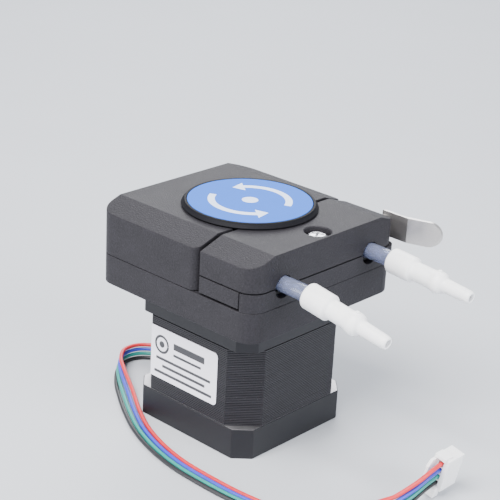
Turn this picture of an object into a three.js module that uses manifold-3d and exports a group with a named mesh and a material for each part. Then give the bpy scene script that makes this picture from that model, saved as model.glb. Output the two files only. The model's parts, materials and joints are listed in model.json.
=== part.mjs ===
// A roller pump head with a quick-release tube track, standing on the stepper motor that turns it.
// Millimetres, +Z up. The origin is the middle of the motor's rear face, which the pump stands on.
// The shaft runs up the Z axis, the two tube ends leave towards +X, and the motor's lead leaves towards -X.

import * as THREE from "three";
import { mergeVertices } from "three/addons/utils/BufferGeometryUtils.js";
import Module from "manifold-3d";

const wasm = await Module();
wasm.setup();

// ---------------------------------------------------------------- driving dimensions

const FIT = 0.3; // gap between pieces that touch or slide
const SEAT = 0.1; // gap between faces that are clamped together

const MOTOR = { half: 21.15, capCorner: 4.1, stackCorner: 7, rearTop: 8.7, stackTop: 31, top: 38.7 };
const PILOT = { radius: 11, height: 2 };
const BOLT = { pitch: 15.5, hole: 1.75, shank: 1.45 }; // four M3 screws, 31 mm apart
const MOTOR_SCREW = {
  head: 2.7, room: 3.1, roomTop: 3.4, z0: 0.6, z1: 2.8, top: 34.2, cross: 1.5, slot: 0.3,
  depth: 0.8,
};
const CORE = { teeth: 24, tip: 11, root: 10.3, z0: 10.5, z1: 29.2 };
const STATOR = { poles: 8, bore: 11.35, slotDepth: 17.4, halfPole: 0.28 };
const GROMMET = { x0: -22.3, x1: -18, half: 1.9, z0: 2.3, z1: 8.4, notch: 2.3 };
const BEARING = { outer: 6.85, inner: 2.8, width: 5, seat: 7.15, boss: 9 };
const SHAFT = { radius: 2.5, bore: 2.8, bottom: 2.3, top: 60.3 };
const WINDING = { inner: 12, outer: 17, cavity: 17.5 };
const LABEL = { x0: -14.1, x1: 10.9, z0: 13.2, z1: 28.4, thick: 0.15, corner: 1.2 };

const HEAD = {
  half: 28.25, corner: 5, bottom: 38.8, seam: 47, mid: 52.2, bevelFoot: 58.8, top: 61.35,
  bevel: 7.6,
};
const SPLIT = { housing: 8.6, cassette: 9.8, corner: 2.6 }; // the two halves of the top meet here, along X
const TRACK = { radius: 19.5, roof: 58.6, opening: 17.6, travel: 3 };
const RIB = { y: 23.5, width: 3, height: 1.4, x0: -24, x1: 6 };
const ARM = { inner: 20.9, bottom: 47.6, frontEnd: 23.5, rearEnd: 25 };
const BLOCK = { back: 23.8, stemBack: 15.6, stemHalf: 13.4 };
const BLOCK_SCREW = {
  x: 24.9, y: 8.5, head: 2.1, room: 2.5, roomTop: 42, hole: 1.5, shank: 1.15, z0: 39.6, z1: 41.6,
  top: 50.4,
};
const BASE_SCREW = {
  head: 2.75, room: 3.2, seat: 42.2, z0: 42.5, z1: 45.4, bottom: 35, socket: 1.25, floor: 43.9,
};
const TIE = { y: 24, z: 50.5, radius: 1.1, x0: 1.5, x1: 14.5 };
const COVER_SCREW = { x: 23.9, recess: 3.55, floor: 58.6 };

const TUBE = { outer: 2.2, inner: 1.2, loop: 17, z: 52.9, hole: 3.1, faceX: 28.25 };
const COLLAR = { inner: 2.5, outer: 3.2, pocket: 3.6, x0: 24.9, x1: 26.7 };
const FITTING = { front: { x: 36.3, z: 52.7, tilt: 9 }, rear: { x: 35.5, z: 52.6, tilt: 5 }, grip: 3.8 };

const ROLLER = { count: 3, radius: 4.5, orbit: 9.9, z0: 49.3, z1: 56.2, pin: 1.25 };
const PLATE = {
  radius: 13, bottom: 47.3, thick: 1.6, topBottom: 56.5, topThick: 1.8, hub: 5.5, hubBottom: 43.2,
};
const DISC = { top: 63, rim: 17.6, foot: 18.3, underside: 61.6, neck: 12.9, face: 17, recess: 0.25 };

// Past clearY the strip is wide; up to there it is only a neck, which swings in the slot of the cover.
const LEVER = {
  x: 21.7, y: 25.9, end: 39, swing: 45, crank: 3.9, clearY: 30, thick: 1, z0: 52.3, z1: 59.3, neckZ0: 53.5,
  neckZ1: 57.7,
};

const WIRE = { radius: 0.575, pitch: 1.4, steps: 46, plugPitch: 2 };
const PLUG = {
  x: 65.5, y0: 4, y1: 10.6, z0: 2.4, z1: 12, thick: 4.2, lean: 12, cavity: 1.5, pin: 0.9,
  pinY0: 5.4, pinY1: 10,
};

// The middle of the flat lead, from the motor's grommet to the plug. The twist stands it on edge (1)
// or lays it flat (0), and at the plug it leans a little past upright.
const LEAD_ROUTE = [
  { at: [-22.7, 5.2, 5.5], twist: 1 },
  { at: [-27, 5.3, 5.1], twist: 1 },
  { at: [-32.5, 5.1, 3.9], twist: 1 },
  { at: [-38, 3.6, 2.9], twist: 1 },
  { at: [-41.8, 0.2, 2.6], twist: 0.85 },
  { at: [-42.6, -4.6, 2.1], twist: 0.55 },
  { at: [-39.6, -9.6, 1.4], twist: 0.25 },
  { at: [-34, -14.2, 0.8], twist: 0.05 },
  { at: [-26.5, -18.9, 0.62], twist: 0 },
  { at: [-18, -24.1, 0.62], twist: 0 },
  { at: [-9.5, -28.6, 0.62], twist: 0 },
  { at: [0, -32, 0.62], twist: 0 },
  { at: [10.5, -34.1, 0.62], twist: 0 },
  { at: [22, -34.6, 0.62], twist: 0 },
  { at: [33, -34.2, 0.62], twist: 0 },
  { at: [43.5, -32.4, 0.62], twist: 0 },
  { at: [52.5, -28, 0.62], twist: 0 },
  { at: [59, -20.8, 0.9], twist: 0.1 },
  { at: [62.6, -12.6, 2], twist: 0.4 },
  { at: [64.7, -5, 4.6], twist: 0.8 },
  { at: [65.5, 0, 6.6], twist: 1.1 },
  { at: [65.5, 5, 7.2], twist: 1.13 },
];

// ---------------------------------------------------------------- materials

function paint(color, roughness, metalness) {
  return new THREE.MeshStandardMaterial({ color, roughness, metalness });
}

const FINISH = {
  blackAnodised: paint(0x26272c, 0.45, 0.7),
  laminations: paint(0x1d1e22, 0.55, 0.6),
  head: paint(0x4a4850, 0.62, 0),
  disc: paint(0x141418, 0.4, 0),
  face: paint(0x6fb0f2, 0.35, 0),
  label: paint(0xe6e4ee, 0.5, 0),
  steel: paint(0xc8c6c8, 0.3, 1),
  zinc: paint(0xb8b8bc, 0.35, 1),
  copper: paint(0xb06a3a, 0.4, 1),
  roller: paint(0xe8e6dc, 0.4, 0),
  tube: paint(0xc4d0e4, 0.25, 0),
  fitting: paint(0xf2f2f5, 0.4, 0),
  blackPlastic: paint(0x202024, 0.55, 0),
  red: paint(0xd84a50, 0.45, 0),
  blue: paint(0x3f55c8, 0.45, 0),
  green: paint(0x2f9c8c, 0.45, 0),
  black: paint(0x1c1c20, 0.45, 0),
};

// ---------------------------------------------------------------- geometry helpers

function solid(geometry) {
  const bare = geometry.clone();
  bare.deleteAttribute("normal");
  bare.deleteAttribute("uv");
  const merged = mergeVertices(bare);
  const vertProperties = merged.attributes.position.array;
  const triVerts = new Uint32Array(merged.index.array);
  return new wasm.Manifold(new wasm.Mesh({ numProp: 3, vertProperties, triVerts }));
}

function surface(manifold) {
  const mesh = manifold.getMesh();
  const geometry = new THREE.BufferGeometry();
  geometry.setAttribute("position", new THREE.BufferAttribute(mesh.vertProperties, 3));
  geometry.setIndex(new THREE.BufferAttribute(mesh.triVerts, 1));
  geometry.computeVertexNormals();
  return geometry;
}

// The body with every cutter taken away from it.
function cut(body, ...cutters) {
  const result = cutters.reduce((left, cutter) => left.subtract(solid(cutter)), solid(body));
  return surface(result);
}

function join(...pieces) {
  const result = pieces.slice(1).reduce((sum, piece) => sum.add(solid(piece)), solid(pieces[0]));
  return surface(result);
}

function common(first, second) {
  return surface(solid(first).intersect(solid(second)));
}

function box(x0, x1, y0, y1, z0, z1) {
  const geometry = new THREE.BoxGeometry(x1 - x0, y1 - y0, z1 - z0);
  return geometry.translate((x0 + x1) / 2, (y0 + y1) / 2, (z0 + z1) / 2);
}

function extrude(shape, z0, z1, curveSegments = 8) {
  const geometry = new THREE.ExtrudeGeometry(shape, { depth: z1 - z0, bevelEnabled: false, curveSegments });
  return geometry.translate(0, 0, z0);
}

// A cylinder standing on z0, or lying along X from x0, round the point given.
function post(radius, z0, z1, x = 0, y = 0, sides = 20) {
  const geometry = new THREE.CylinderGeometry(radius, radius, z1 - z0, sides);
  return geometry.rotateX(Math.PI / 2).translate(x, y, (z0 + z1) / 2);
}

function rod(radius, x0, x1, y, z, sides = 16) {
  const geometry = new THREE.CylinderGeometry(radius, radius, x1 - x0, sides);
  return geometry.rotateZ(Math.PI / 2).translate((x0 + x1) / 2, y, z);
}

// A turned piece round Z from [radius, height] points.
function turn(points, sides = 24) {
  const profile = points.map(([radius, height]) => new THREE.Vector2(radius, height));
  return new THREE.LatheGeometry(profile, sides).rotateX(Math.PI / 2);
}

// A ring round Z with a plain rectangular section.
function ring(inner, outer, z0, z1, sides = 16) {
  return turn([[inner, z0], [outer, z0], [outer, z1], [inner, z1], [inner, z0]], sides);
}

function polygon(points) {
  return new THREE.Shape(points.map(([x, y]) => new THREE.Vector2(x, y)));
}

// A square with its four corners cut off at 45 degrees.
function chamferedSquare(half, corner) {
  const inner = half - corner;
  return polygon([
    [inner, -half], [half, -inner], [half, inner], [inner, half],
    [-inner, half], [-half, inner], [-half, -inner], [-inner, -half],
  ]);
}

// A rectangle whose corners have the radii given, from (x0, y0) counter-clockwise.
function roundedRectangle(x0, x1, y0, y1, [r00, r10, r11, r01]) {
  const shape = new THREE.Shape();
  shape.moveTo(x0 + r00, y0);
  shape.lineTo(x1 - r10, y0);
  if (r10) shape.absarc(x1 - r10, y0 + r10, r10, -Math.PI / 2, 0);
  shape.lineTo(x1, y1 - r11);
  if (r11) shape.absarc(x1 - r11, y1 - r11, r11, 0, Math.PI / 2);
  shape.lineTo(x0 + r01, y1);
  if (r01) shape.absarc(x0 + r01, y1 - r01, r01, Math.PI / 2, Math.PI);
  shape.lineTo(x0, y0 + r00);
  if (r00) shape.absarc(x0 + r00, y0 + r00, r00, Math.PI, 1.5 * Math.PI);
  return shape;
}

function corners(distance) {
  return [[-distance, -distance], [distance, -distance], [distance, distance], [-distance, distance]];
}

const pump = new THREE.Group();

function add(name, geometry, material) {
  const mesh = new THREE.Mesh(geometry, material);
  mesh.name = name;
  pump.add(mesh);
  return mesh;
}

// ---------------------------------------------------------------- motor

function motorRearCap() {
  const cavityFloor = 2.5;
  const cap = extrude(chamferedSquare(MOTOR.half, MOTOR.capCorner), 0, MOTOR.rearTop);
  const holes = corners(BOLT.pitch).flatMap(([x, y]) => [
    post(BOLT.hole, -1, 10, x, y, 10),
    post(MOTOR_SCREW.room, -1, MOTOR_SCREW.roomTop, x, y, 12),
  ]);
  const exit = LEAD_ROUTE[0].at[1];
  const { x1: grommetEnd, notch: half } = GROMMET;
  const notch = box(-MOTOR.half - 1, grommetEnd + 1, exit - half, exit + half, 2, MOTOR.rearTop + 1);
  return cut(
    cap,
    ring(BEARING.boss, WINDING.cavity, cavityFloor, 10, 24),
    post(BEARING.seat, 1.5, 10),
    notch,
    ...holes,
  );
}

function motorStack() {
  const { poles, bore: radius0, slotDepth, halfPole } = STATOR;
  const step = (2 * Math.PI) / poles;
  const bore = new THREE.Path();
  for (let pole = 0; pole < poles; pole++) {
    const middle = pole * step;
    const reach = [
      [radius0, -halfPole], [radius0, 0], [radius0, halfPole], [slotDepth, halfPole], [slotDepth, step - halfPole],
    ];
    reach.forEach(([radius, angle], index) => {
      const x = radius * Math.cos(middle + angle);
      const y = radius * Math.sin(middle + angle);
      if (pole + index === 0) bore.moveTo(x, y);
      else bore.lineTo(x, y);
    });
  }
  bore.closePath();
  const shape = chamferedSquare(MOTOR.half - 0.05, MOTOR.stackCorner);
  shape.holes.push(bore);
  const stack = extrude(shape, MOTOR.rearTop + SEAT, MOTOR.stackTop - SEAT);
  return cut(stack, ...corners(BOLT.pitch).map(([x, y]) => post(BOLT.hole, 5, 35, x, y, 10)));
}

function motorFrontCap() {
  const seatTop = 36.4;
  const cap = extrude(chamferedSquare(MOTOR.half, MOTOR.capCorner), MOTOR.stackTop, MOTOR.top);
  const body = join(cap, post(PILOT.radius, MOTOR.top - 1, MOTOR.top + PILOT.height, 0, 0, 32));
  return cut(
    body,
    ring(BEARING.boss, WINDING.cavity, MOTOR.stackTop - 1, 36, 24),
    post(BEARING.seat, MOTOR.stackTop - 1, seatTop),
    post(SHAFT.radius + 0.7, 30, 42),
    ...corners(BOLT.pitch).map(([x, y]) => post(BOLT.hole, 30, 40, x, y, 10)),
  );
}

function motorScrew(x, y) {
  const { head: radius, z0, z1, top, cross, slot, depth } = MOTOR_SCREW;
  const head = post(radius, z0, z1, x, y, 12);
  const recess = extrude(crossShape(cross, slot), 0, z0 + depth).translate(x, y, 0);
  const shank = post(BOLT.shank, z1 - 0.4, top, x, y, 8);
  return cut(join(head, shank), recess);
}

// The plus-shaped recess of a cross-head screw.
function crossShape(reach, half) {
  return polygon([
    [reach, -half], [reach, half], [half, half], [half, reach], [-half, reach], [-half, half],
    [-reach, half], [-reach, -half], [-half, -half], [-half, -reach], [half, -reach], [half, -half],
  ]);
}

function rotorCore() {
  const { teeth, tip, root, z0, z1 } = CORE;
  const shape = new THREE.Shape();
  for (let tooth = 0; tooth < teeth; tooth++) {
    const start = (tooth / teeth) * 2 * Math.PI;
    const width = Math.PI / teeth;
    [[tip, start], [tip, start + width], [root, start + width], [root, start + 2 * width]].forEach(
      ([radius, angle], index) => {
        const x = radius * Math.cos(angle);
        const y = radius * Math.sin(angle);
        if (tooth + index === 0) shape.moveTo(x, y);
        else shape.lineTo(x, y);
      },
    );
  }
  shape.closePath();
  return cut(extrude(shape, z0, z1), post(SHAFT.bore, z0 - 1, z1 + 1));
}

function buildMotor() {
  add("motor_rear_cap", motorRearCap(), FINISH.blackAnodised);
  add("motor_stator_stack", motorStack(), FINISH.laminations);
  add("motor_front_cap", motorFrontCap(), FINISH.blackAnodised);
  const sticker = roundedRectangle(LABEL.x0, LABEL.x1, LABEL.z0, LABEL.z1, [0.2, LABEL.corner, LABEL.corner, 0.2]);
  const label = extrude(sticker, 0, LABEL.thick, 4).rotateX(Math.PI / 2);
  add("motor_label", label.translate(0, -MOTOR.half, 0), FINISH.label);
  corners(BOLT.pitch).forEach(([x, y], index) => {
    add(`motor_screw_${index + 1}`, motorScrew(x, y), FINISH.zinc);
  });
  add("motor_rear_bearing", ring(BEARING.inner, BEARING.outer, 2.4, 2.4 + BEARING.width), FINISH.steel);
  add("motor_front_bearing", ring(BEARING.inner, BEARING.outer, 31.1, 31.1 + BEARING.width), FINISH.steel);
  add("motor_preload_washer", ring(4.2, 6.6, 1.7, 2.1, 20), FINISH.steel);
  add("motor_winding_lower", ring(WINDING.inner, WINDING.outer, 4.4, 8.5), FINISH.copper);
  add("motor_winding_upper", ring(WINDING.inner, WINDING.outer, 31.2, 35.4), FINISH.copper);
  add("motor_rotor_core", rotorCore(), FINISH.steel);
  add("motor_shaft", post(SHAFT.radius, SHAFT.bottom, SHAFT.top), FINISH.steel);
  const exit = LEAD_ROUTE[0].at[1];
  const { x0, x1, half, z0, z1 } = GROMMET;
  add("lead_grommet", box(x0, x1, exit - half, exit + half, z0, z1), FINISH.blackPlastic);
}

// ---------------------------------------------------------------- pump head

// The long bar that both top halves are cut from: its upper edges slope down to the -Y and +Y sides.
function bevelledBar(x0, x1, z0) {
  const { half, bevelFoot, top, bevel } = HEAD;
  const section = polygon([
    [-half, z0], [half, z0], [half, bevelFoot], [half - bevel, top], [-half + bevel, top], [-half, bevelFoot],
  ]);
  const bar = new THREE.ExtrudeGeometry(section, { depth: x1 - x0, bevelEnabled: false });
  return bar.rotateX(Math.PI / 2).rotateZ(Math.PI / 2).translate(x0, 0, 0);
}

function headBase() {
  const { half, corner, bottom, seam } = HEAD;
  const plan = roundedRectangle(-half, half, -half, half, [corner, corner, corner, corner]);
  const ribs = [-RIB.y, RIB.y].map((y) =>
    box(RIB.x0, RIB.x1, y - RIB.width / 2, y + RIB.width / 2, seam - 1, seam + RIB.height),
  );
  const screwHoles = corners(BOLT.pitch).flatMap(([x, y]) => [
    post(BOLT.hole, 30, 50, x, y, 10),
    post(BASE_SCREW.room, BASE_SCREW.seat, 50, x, y, 12),
  ]);
  const blockHoles = [-BLOCK_SCREW.y, BLOCK_SCREW.y].flatMap((y) => [
    post(BLOCK_SCREW.hole, bottom - 1, seam + 1, BLOCK_SCREW.x, y, 12),
    post(BLOCK_SCREW.room, bottom - 1, BLOCK_SCREW.roomTop, BLOCK_SCREW.x, y, 16),
  ]);
  return cut(
    join(extrude(plan, bottom, seam), ...ribs),
    post(PILOT.radius + FIT, bottom - 1, MOTOR.top + PILOT.height + FIT, 0, 0, 32),
    post(PLATE.hub + 1, bottom - 1, seam + 1),
    ...screwHoles,
    ...blockHoles,
  );
}

function baseScrew(x, y) {
  const { head, z0, z1, bottom, socket, floor } = BASE_SCREW;
  const body = join(post(head, z0, z1, x, y, 12), post(BOLT.shank, bottom, z0 + 0.5, x, y, 8));
  return cut(body, post(socket, floor, z1 + 1, x, y, 6));
}

function blockScrew(y) {
  const { x, head, shank, z0, z1, top } = BLOCK_SCREW;
  const body = join(post(head, z0, z1, x, y, 16), post(shank, z1 - 0.6, top, x, y, 10));
  return cut(body, post(1, z0 - 0.6, z0 + 1, x, y, 6));
}

// The plan of the tube chamber: a half circle towards -X, with straight sides from the axis to +X.
function chamberShape(radius, x1) {
  const shape = new THREE.Shape();
  shape.moveTo(x1, -radius);
  shape.lineTo(x1, radius);
  shape.lineTo(0, radius);
  shape.absarc(0, 0, radius, Math.PI / 2, 1.5 * Math.PI);
  shape.closePath();
  return shape;
}

function trackHousing() {
  const { half, corner, seam } = HEAD;
  const bottom = seam + 0.15;
  const plan = roundedRectangle(-half, SPLIT.housing, -half, half, [corner, SPLIT.corner, SPLIT.corner, corner]);
  const bar = bevelledBar(-half - 1, SPLIT.housing + 1, bottom);
  const body = common(bar, extrude(plan, bottom - 1, HEAD.top + 1));
  const groove = RIB.width / 2 + FIT;
  const grooves = [-RIB.y, RIB.y].map((y) =>
    box(RIB.x0 - 0.4, SPLIT.housing + 1, y - groove, y + groove, seam - 1, seam + RIB.height + 0.35),
  );
  const tieHoles = [-TIE.y, TIE.y].map((y) =>
    rod(TIE.radius + 0.15, TIE.x0 - 0.4, SPLIT.housing + 1, y, TIE.z, 12),
  );
  return cut(
    body,
    extrude(chamberShape(TRACK.radius, SPLIT.housing + 1), bottom - 1, TRACK.roof, 12),
    post(TRACK.opening, TRACK.roof - 1, HEAD.top + 1, 0, 0, 40),
    ...grooves,
    ...tieHoles,
  );
}

// Where the crank pin runs in the rear slide arm, seen from the arm, as the lever swings and the arm moves back.
function crankSlotPoint(share) {
  const angle = THREE.MathUtils.degToRad(LEVER.swing * share);
  const x = LEVER.x - LEVER.crank * Math.cos(angle) + TRACK.travel * share;
  const y = LEVER.y - LEVER.crank * Math.sin(angle);
  return new THREE.Vector2(x, y);
}

// A band of constant half width along a flat line of points, with round ends.
function bandShape(points, halfWidth) {
  const side = (sign) =>
    points.map((point, index) => {
      const before = points[Math.max(index - 1, 0)];
      const after = points[Math.min(index + 1, points.length - 1)];
      const along = after.clone().sub(before).normalize();
      return new THREE.Vector2(point.x - sign * along.y * halfWidth, point.y + sign * along.x * halfWidth);
    });
  return new THREE.Shape([...side(-1), ...side(1).reverse()]);
}

function slideArm(side) {
  const end = side < 0 ? ARM.frontEnd : ARM.rearEnd;
  const [y0, y1] = side < 0 ? [-HEAD.half, -ARM.inner] : [ARM.inner, HEAD.half];
  const arm = box(SPLIT.cassette, end, y0, y1, ARM.bottom, HEAD.mid - 0.15);
  const tieHole = rod(TIE.radius + 0.15, 9, TIE.x1 + 0.4, side * TIE.y, TIE.z, 12);
  if (side < 0) return cut(arm, tieHole);
  const line = [-0.3, 0, 0.25, 0.5, 0.75, 1, 1.23].map(crankSlotPoint);
  return cut(arm, tieHole, extrude(bandShape(line, 1.3), 46, 54));
}

function tubeHoles(radius, x0, x1, z) {
  return [-TUBE.loop, TUBE.loop].map((y) => rod(radius, x0, x1, y, z, 16));
}

function frontBlock() {
  const { half, corner, seam, mid } = HEAD;
  const { back, stemBack, stemHalf } = BLOCK;
  const top = mid - 0.15;
  const armSide = ARM.inner - FIT;
  const plan = polygon([
    [back, -half], [half, -half], [half, half], [ARM.rearEnd + FIT, half], [ARM.rearEnd + FIT, armSide],
    [back, armSide], [back, stemHalf], [stemBack, stemHalf - 2], [stemBack, -stemHalf + 2], [back, -stemHalf],
  ]);
  const outline = roundedRectangle(-half, half, -half, half, [corner, corner, corner, corner]);
  return cut(
    common(extrude(plan, seam + SEAT, top), extrude(outline, seam - 1, top + 1)),
    ...tubeHoles(TUBE.hole, 20, 30, mid),
    ...tubeHoles(COLLAR.pocket, COLLAR.x0 - FIT, COLLAR.x1 + FIT, TUBE.z),
    post(1.7, 46, 54, COVER_SCREW.x, 0, 12),
    ...[-BLOCK_SCREW.y, BLOCK_SCREW.y].map((y) => post(1.4, 46, 54, BLOCK_SCREW.x, y, 12)),
  );
}

function cassetteCover() {
  const { half, corner, mid, top } = HEAD;
  const bottom = mid + 0.15;
  const plan = roundedRectangle(SPLIT.cassette, half, -half, half, [0, corner, corner, 0]);
  const body = common(bevelledBar(SPLIT.cassette - 1, half + 1, bottom), extrude(plan, bottom - 1, top + 1));
  const { x, y } = LEVER;
  const crankSweep = post(LEVER.crank + 2.1, mid - 1, 53.8, x, y);
  const crankRoom = common(crankSweep, box(10, x + 2.7, 15, half - 1, 50, 55));
  const neckRoom = polygon([[x + 1, y - 2], [x + 1, half + 2], [x - 5.4, half + 2], [x - 2, y - 2]]);
  return cut(
    body,
    post(15.2, mid - 1, top + 1, 0, 0, 40),
    ...tubeHoles(TUBE.hole, 5, 30, mid),
    ...tubeHoles(COLLAR.pocket, COLLAR.x0 - FIT, COLLAR.x1 + FIT, TUBE.z),
    post(COVER_SCREW.recess, COVER_SCREW.floor, top + 1, COVER_SCREW.x, 0, 32),
    post(1.7, mid - 1, top + 1, COVER_SCREW.x, 0, 12),
    crankRoom,
    extrude(neckRoom, LEVER.neckZ0 - FIT, LEVER.neckZ1 + FIT),
    post(2.6, mid - 1, LEVER.neckZ1 + FIT, x, y, 20),
    post(1.15, mid - 1, 58.9, x, y, 12),
  );
}

function coverScrew() {
  const head = turn([[0, 58.9], [2.8, 58.9], [2.8, 59.9], [2.3, 60.5], [0, 60.7]], 24);
  const shank = post(1.4, 47.8, 59.4, COVER_SCREW.x, 0, 12);
  const cross = extrude(crossShape(1.7, 0.32), 59.6, 62).rotateZ(0.5).translate(COVER_SCREW.x, 0, 0);
  return cut(join(head.translate(COVER_SCREW.x, 0, 0), shank), cross);
}

function buildHead() {
  add("head_base", headBase(), FINISH.head);
  corners(BOLT.pitch).forEach(([x, y], index) => {
    add(`base_screw_${index + 1}`, baseScrew(x, y), FINISH.zinc);
  });
  add("track_housing", trackHousing(), FINISH.head);
  add("slide_arm_front", slideArm(-1), FINISH.head);
  add("slide_arm_rear", slideArm(1), FINISH.head);
  add("tie_pin_front", rod(TIE.radius, TIE.x0, TIE.x1, -TIE.y, TIE.z, 10), FINISH.steel);
  add("tie_pin_rear", rod(TIE.radius, TIE.x0, TIE.x1, TIE.y, TIE.z, 10), FINISH.steel);
  add("front_block", frontBlock(), FINISH.head);
  add("block_screw_1", blockScrew(-BLOCK_SCREW.y), FINISH.zinc);
  add("block_screw_2", blockScrew(BLOCK_SCREW.y), FINISH.zinc);
  add("cassette_cover", cassetteCover(), FINISH.head);
  add("cover_screw", coverScrew(), FINISH.zinc);
}

// ---------------------------------------------------------------- release lever

// The middle line of the bent strip, seen from above: out of the side, round a tight bend, then flaring away.
function leverLine() {
  const path = new THREE.Path();
  path.moveTo(LEVER.x, LEVER.y + 2.5);
  path.lineTo(LEVER.x, 29.1);
  path.quadraticCurveTo(LEVER.x, 30.4, LEVER.x + 1.4, 30.35);
  path.lineTo(26.4, 30.05);
  path.quadraticCurveTo(28.4, 30, 30.2, 30.6);
  path.lineTo(39.3, 33.6);
  return path.getPoints(5);
}

function releaseLever() {
  const { x, z0, z1, thick, neckZ0, neckZ1 } = LEVER;
  const line = leverLine();
  const strip = extrude(bandShape(line, thick / 2), z0 - 1, z1 + 1);
  const radius = (z1 - z0) / 2;
  const handle = roundedRectangle(x - 0.5, LEVER.end, z0, z1, [0.6, radius, radius, 0.6]);
  const window = new THREE.ExtrudeGeometry(handle, { depth: 20, bevelEnabled: false, curveSegments: 10 });
  const outer = common(strip, window.rotateX(Math.PI / 2).translate(0, LEVER.clearY + 20, 0));
  const neck = extrude(bandShape(line.slice(0, 6), thick / 2), neckZ0, neckZ1);
  return join(outer, neck);
}

function leverHub() {
  const { x, y, crank, neckZ0, neckZ1 } = LEVER;
  const hub = post(2.2, neckZ0, neckZ1, x, y, 20);
  const web = [new THREE.Vector2(x - crank - 1, y), new THREE.Vector2(x + 1, y)];
  const plate = extrude(bandShape(web, 1.1), 52.4, neckZ0 + 0.2);
  const crankPin = post(1, 48.6, 53, x - crank, y, 12);
  return cut(join(hub, plate, crankPin), post(1.3, 50, 60, x, y, 12));
}

function buildLever() {
  add("release_lever", releaseLever(), FINISH.steel);
  add("lever_hub", leverHub(), FINISH.zinc);
  add("lever_pin", post(1, 52.5, 58.7, LEVER.x, LEVER.y, 10), FINISH.steel);
}

// ---------------------------------------------------------------- roller rotor

function rollerPlace(index) {
  const angle = (index / ROLLER.count) * 2 * Math.PI + 0.5;
  return [ROLLER.orbit * Math.cos(angle), ROLLER.orbit * Math.sin(angle)];
}

function plateHoles() {
  return [0, 1, 2].map((index) => post(ROLLER.pin + 0.2, 40, 60, ...rollerPlace(index), 8));
}

function buildRotor() {
  const { radius, bottom, thick, topBottom, topThick, hub, hubBottom } = PLATE;
  const base = turn([
    [SHAFT.bore, hubBottom], [hub, hubBottom], [hub, bottom], [radius, bottom],
    [radius, bottom + thick], [SHAFT.bore, bottom + thick], [SHAFT.bore, hubBottom],
  ]);
  add("rotor_base_plate", cut(base, ...plateHoles()), FINISH.blackPlastic);
  const top = ring(SHAFT.bore, radius, topBottom, topBottom + topThick, 32);
  add("rotor_top_plate", cut(top, ...plateHoles()), FINISH.blackPlastic);
  for (let index = 0; index < ROLLER.count; index++) {
    const [x, y] = rollerPlace(index);
    const roller = ring(ROLLER.pin + FIT, ROLLER.radius, ROLLER.z0, ROLLER.z1, 20);
    add(`roller_${index + 1}`, roller.translate(x, y, 0), FINISH.roller);
    add(`roller_pin_${index + 1}`, post(ROLLER.pin, bottom + 0.2, 58, x, y, 8), FINISH.steel);
  }
  const { top: height, rim, foot, underside, neck, face, recess } = DISC;
  const cap = turn([
    [0, 60.8], [SHAFT.bore, 60.8], [SHAFT.bore, 58.6], [neck, 58.6], [neck, underside], [foot - 0.3, underside],
    [foot, underside + 0.3], [rim, height - 0.3], [rim - 0.3, height], [face + FIT / 2, height],
    [face + FIT / 2, height - recess - 0.15], [0, height - recess - 0.15],
  ], 40);
  add("disc_cap", cap, FINISH.disc);
  add("disc_face", post(face, height - recess, height - 0.02, 0, 0, 40), FINISH.face);
}

// ---------------------------------------------------------------- pump tube and hose fittings

// Where the tube runs: out of one fitting, straight in, half round the rotor, and out to the other fitting.
class TubeLine extends THREE.Curve {
  constructor() {
    super();
    this.leg = TUBE.faceX;
    this.frontFree = FITTING.front.x + FITTING.grip - TUBE.faceX;
    this.rearFree = FITTING.rear.x + FITTING.grip - TUBE.faceX;
    this.arc = Math.PI * TUBE.loop;
    this.total = this.frontFree + 2 * this.leg + this.arc + this.rearFree;
  }

  // A tube end bends from level to the tilt of its fitting.
  freeEnd(along, side, { x, z, tilt }) {
    const slope = Math.tan(THREE.MathUtils.degToRad(tilt));
    const reach = x - TUBE.faceX;
    const share = Math.min(along / reach, 1);
    const drop = (TUBE.z - z) * share * share + slope * Math.max(along - reach, 0);
    return new THREE.Vector3(TUBE.faceX + along, side * TUBE.loop, TUBE.z - drop);
  }

  getPoint(t) {
    const place = t * this.total;
    const bendStart = this.frontFree + this.leg;
    if (place < this.frontFree) return this.freeEnd(this.frontFree - place, -1, FITTING.front);
    if (place < bendStart) return new THREE.Vector3(bendStart - place, -TUBE.loop, TUBE.z);
    if (place < bendStart + this.arc) {
      const angle = (place - bendStart) / TUBE.loop;
      return new THREE.Vector3(-TUBE.loop * Math.sin(angle), -TUBE.loop * Math.cos(angle), TUBE.z);
    }
    const outward = place - bendStart - this.arc;
    if (outward < this.leg) return new THREE.Vector3(outward, TUBE.loop, TUBE.z);
    return this.freeEnd(outward - this.leg, 1, FITTING.rear);
  }
}

function circleShape(radius, sides, hole) {
  const around = (r) =>
    Array.from({ length: sides }, (_, index) => {
      const angle = (index / sides) * 2 * Math.PI;
      return new THREE.Vector2(r * Math.cos(angle), r * Math.sin(angle));
    });
  const shape = new THREE.Shape(around(radius));
  if (hole) shape.holes.push(new THREE.Path(around(hole)));
  return shape;
}

function sweep(curve, shape, steps) {
  return new THREE.ExtrudeGeometry(shape, { steps, extrudePath: curve, bevelEnabled: false });
}

// A reducing hose fitting: a socket for the pump tube, a stem, a round bead and a nose for the hose.
function hoseFitting(side, { x, z, tilt }) {
  const bore = 1;
  const socket = TUBE.outer + 0.35;
  const profile = [
    [socket, 0], [3.1, 0], [3.4, 0.5], [3.4, 7.2], [3.1, 7.6], [2.6, 7.8], [2.6, 13.4], [2.85, 14.2],
    [3.05, 15.2], [2.9, 16.3], [2.3, 17], [1.95, 17.2], [1.72, 24.9], [1.5, 25.6], [bore, 25.6],
    [bore, 4.6], [socket, 4.6], [socket, 0],
  ];
  const geometry = turn(profile, 16);
  geometry.rotateY(Math.PI / 2).rotateY(THREE.MathUtils.degToRad(tilt));
  return geometry.translate(x, side * TUBE.loop, z);
}

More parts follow.
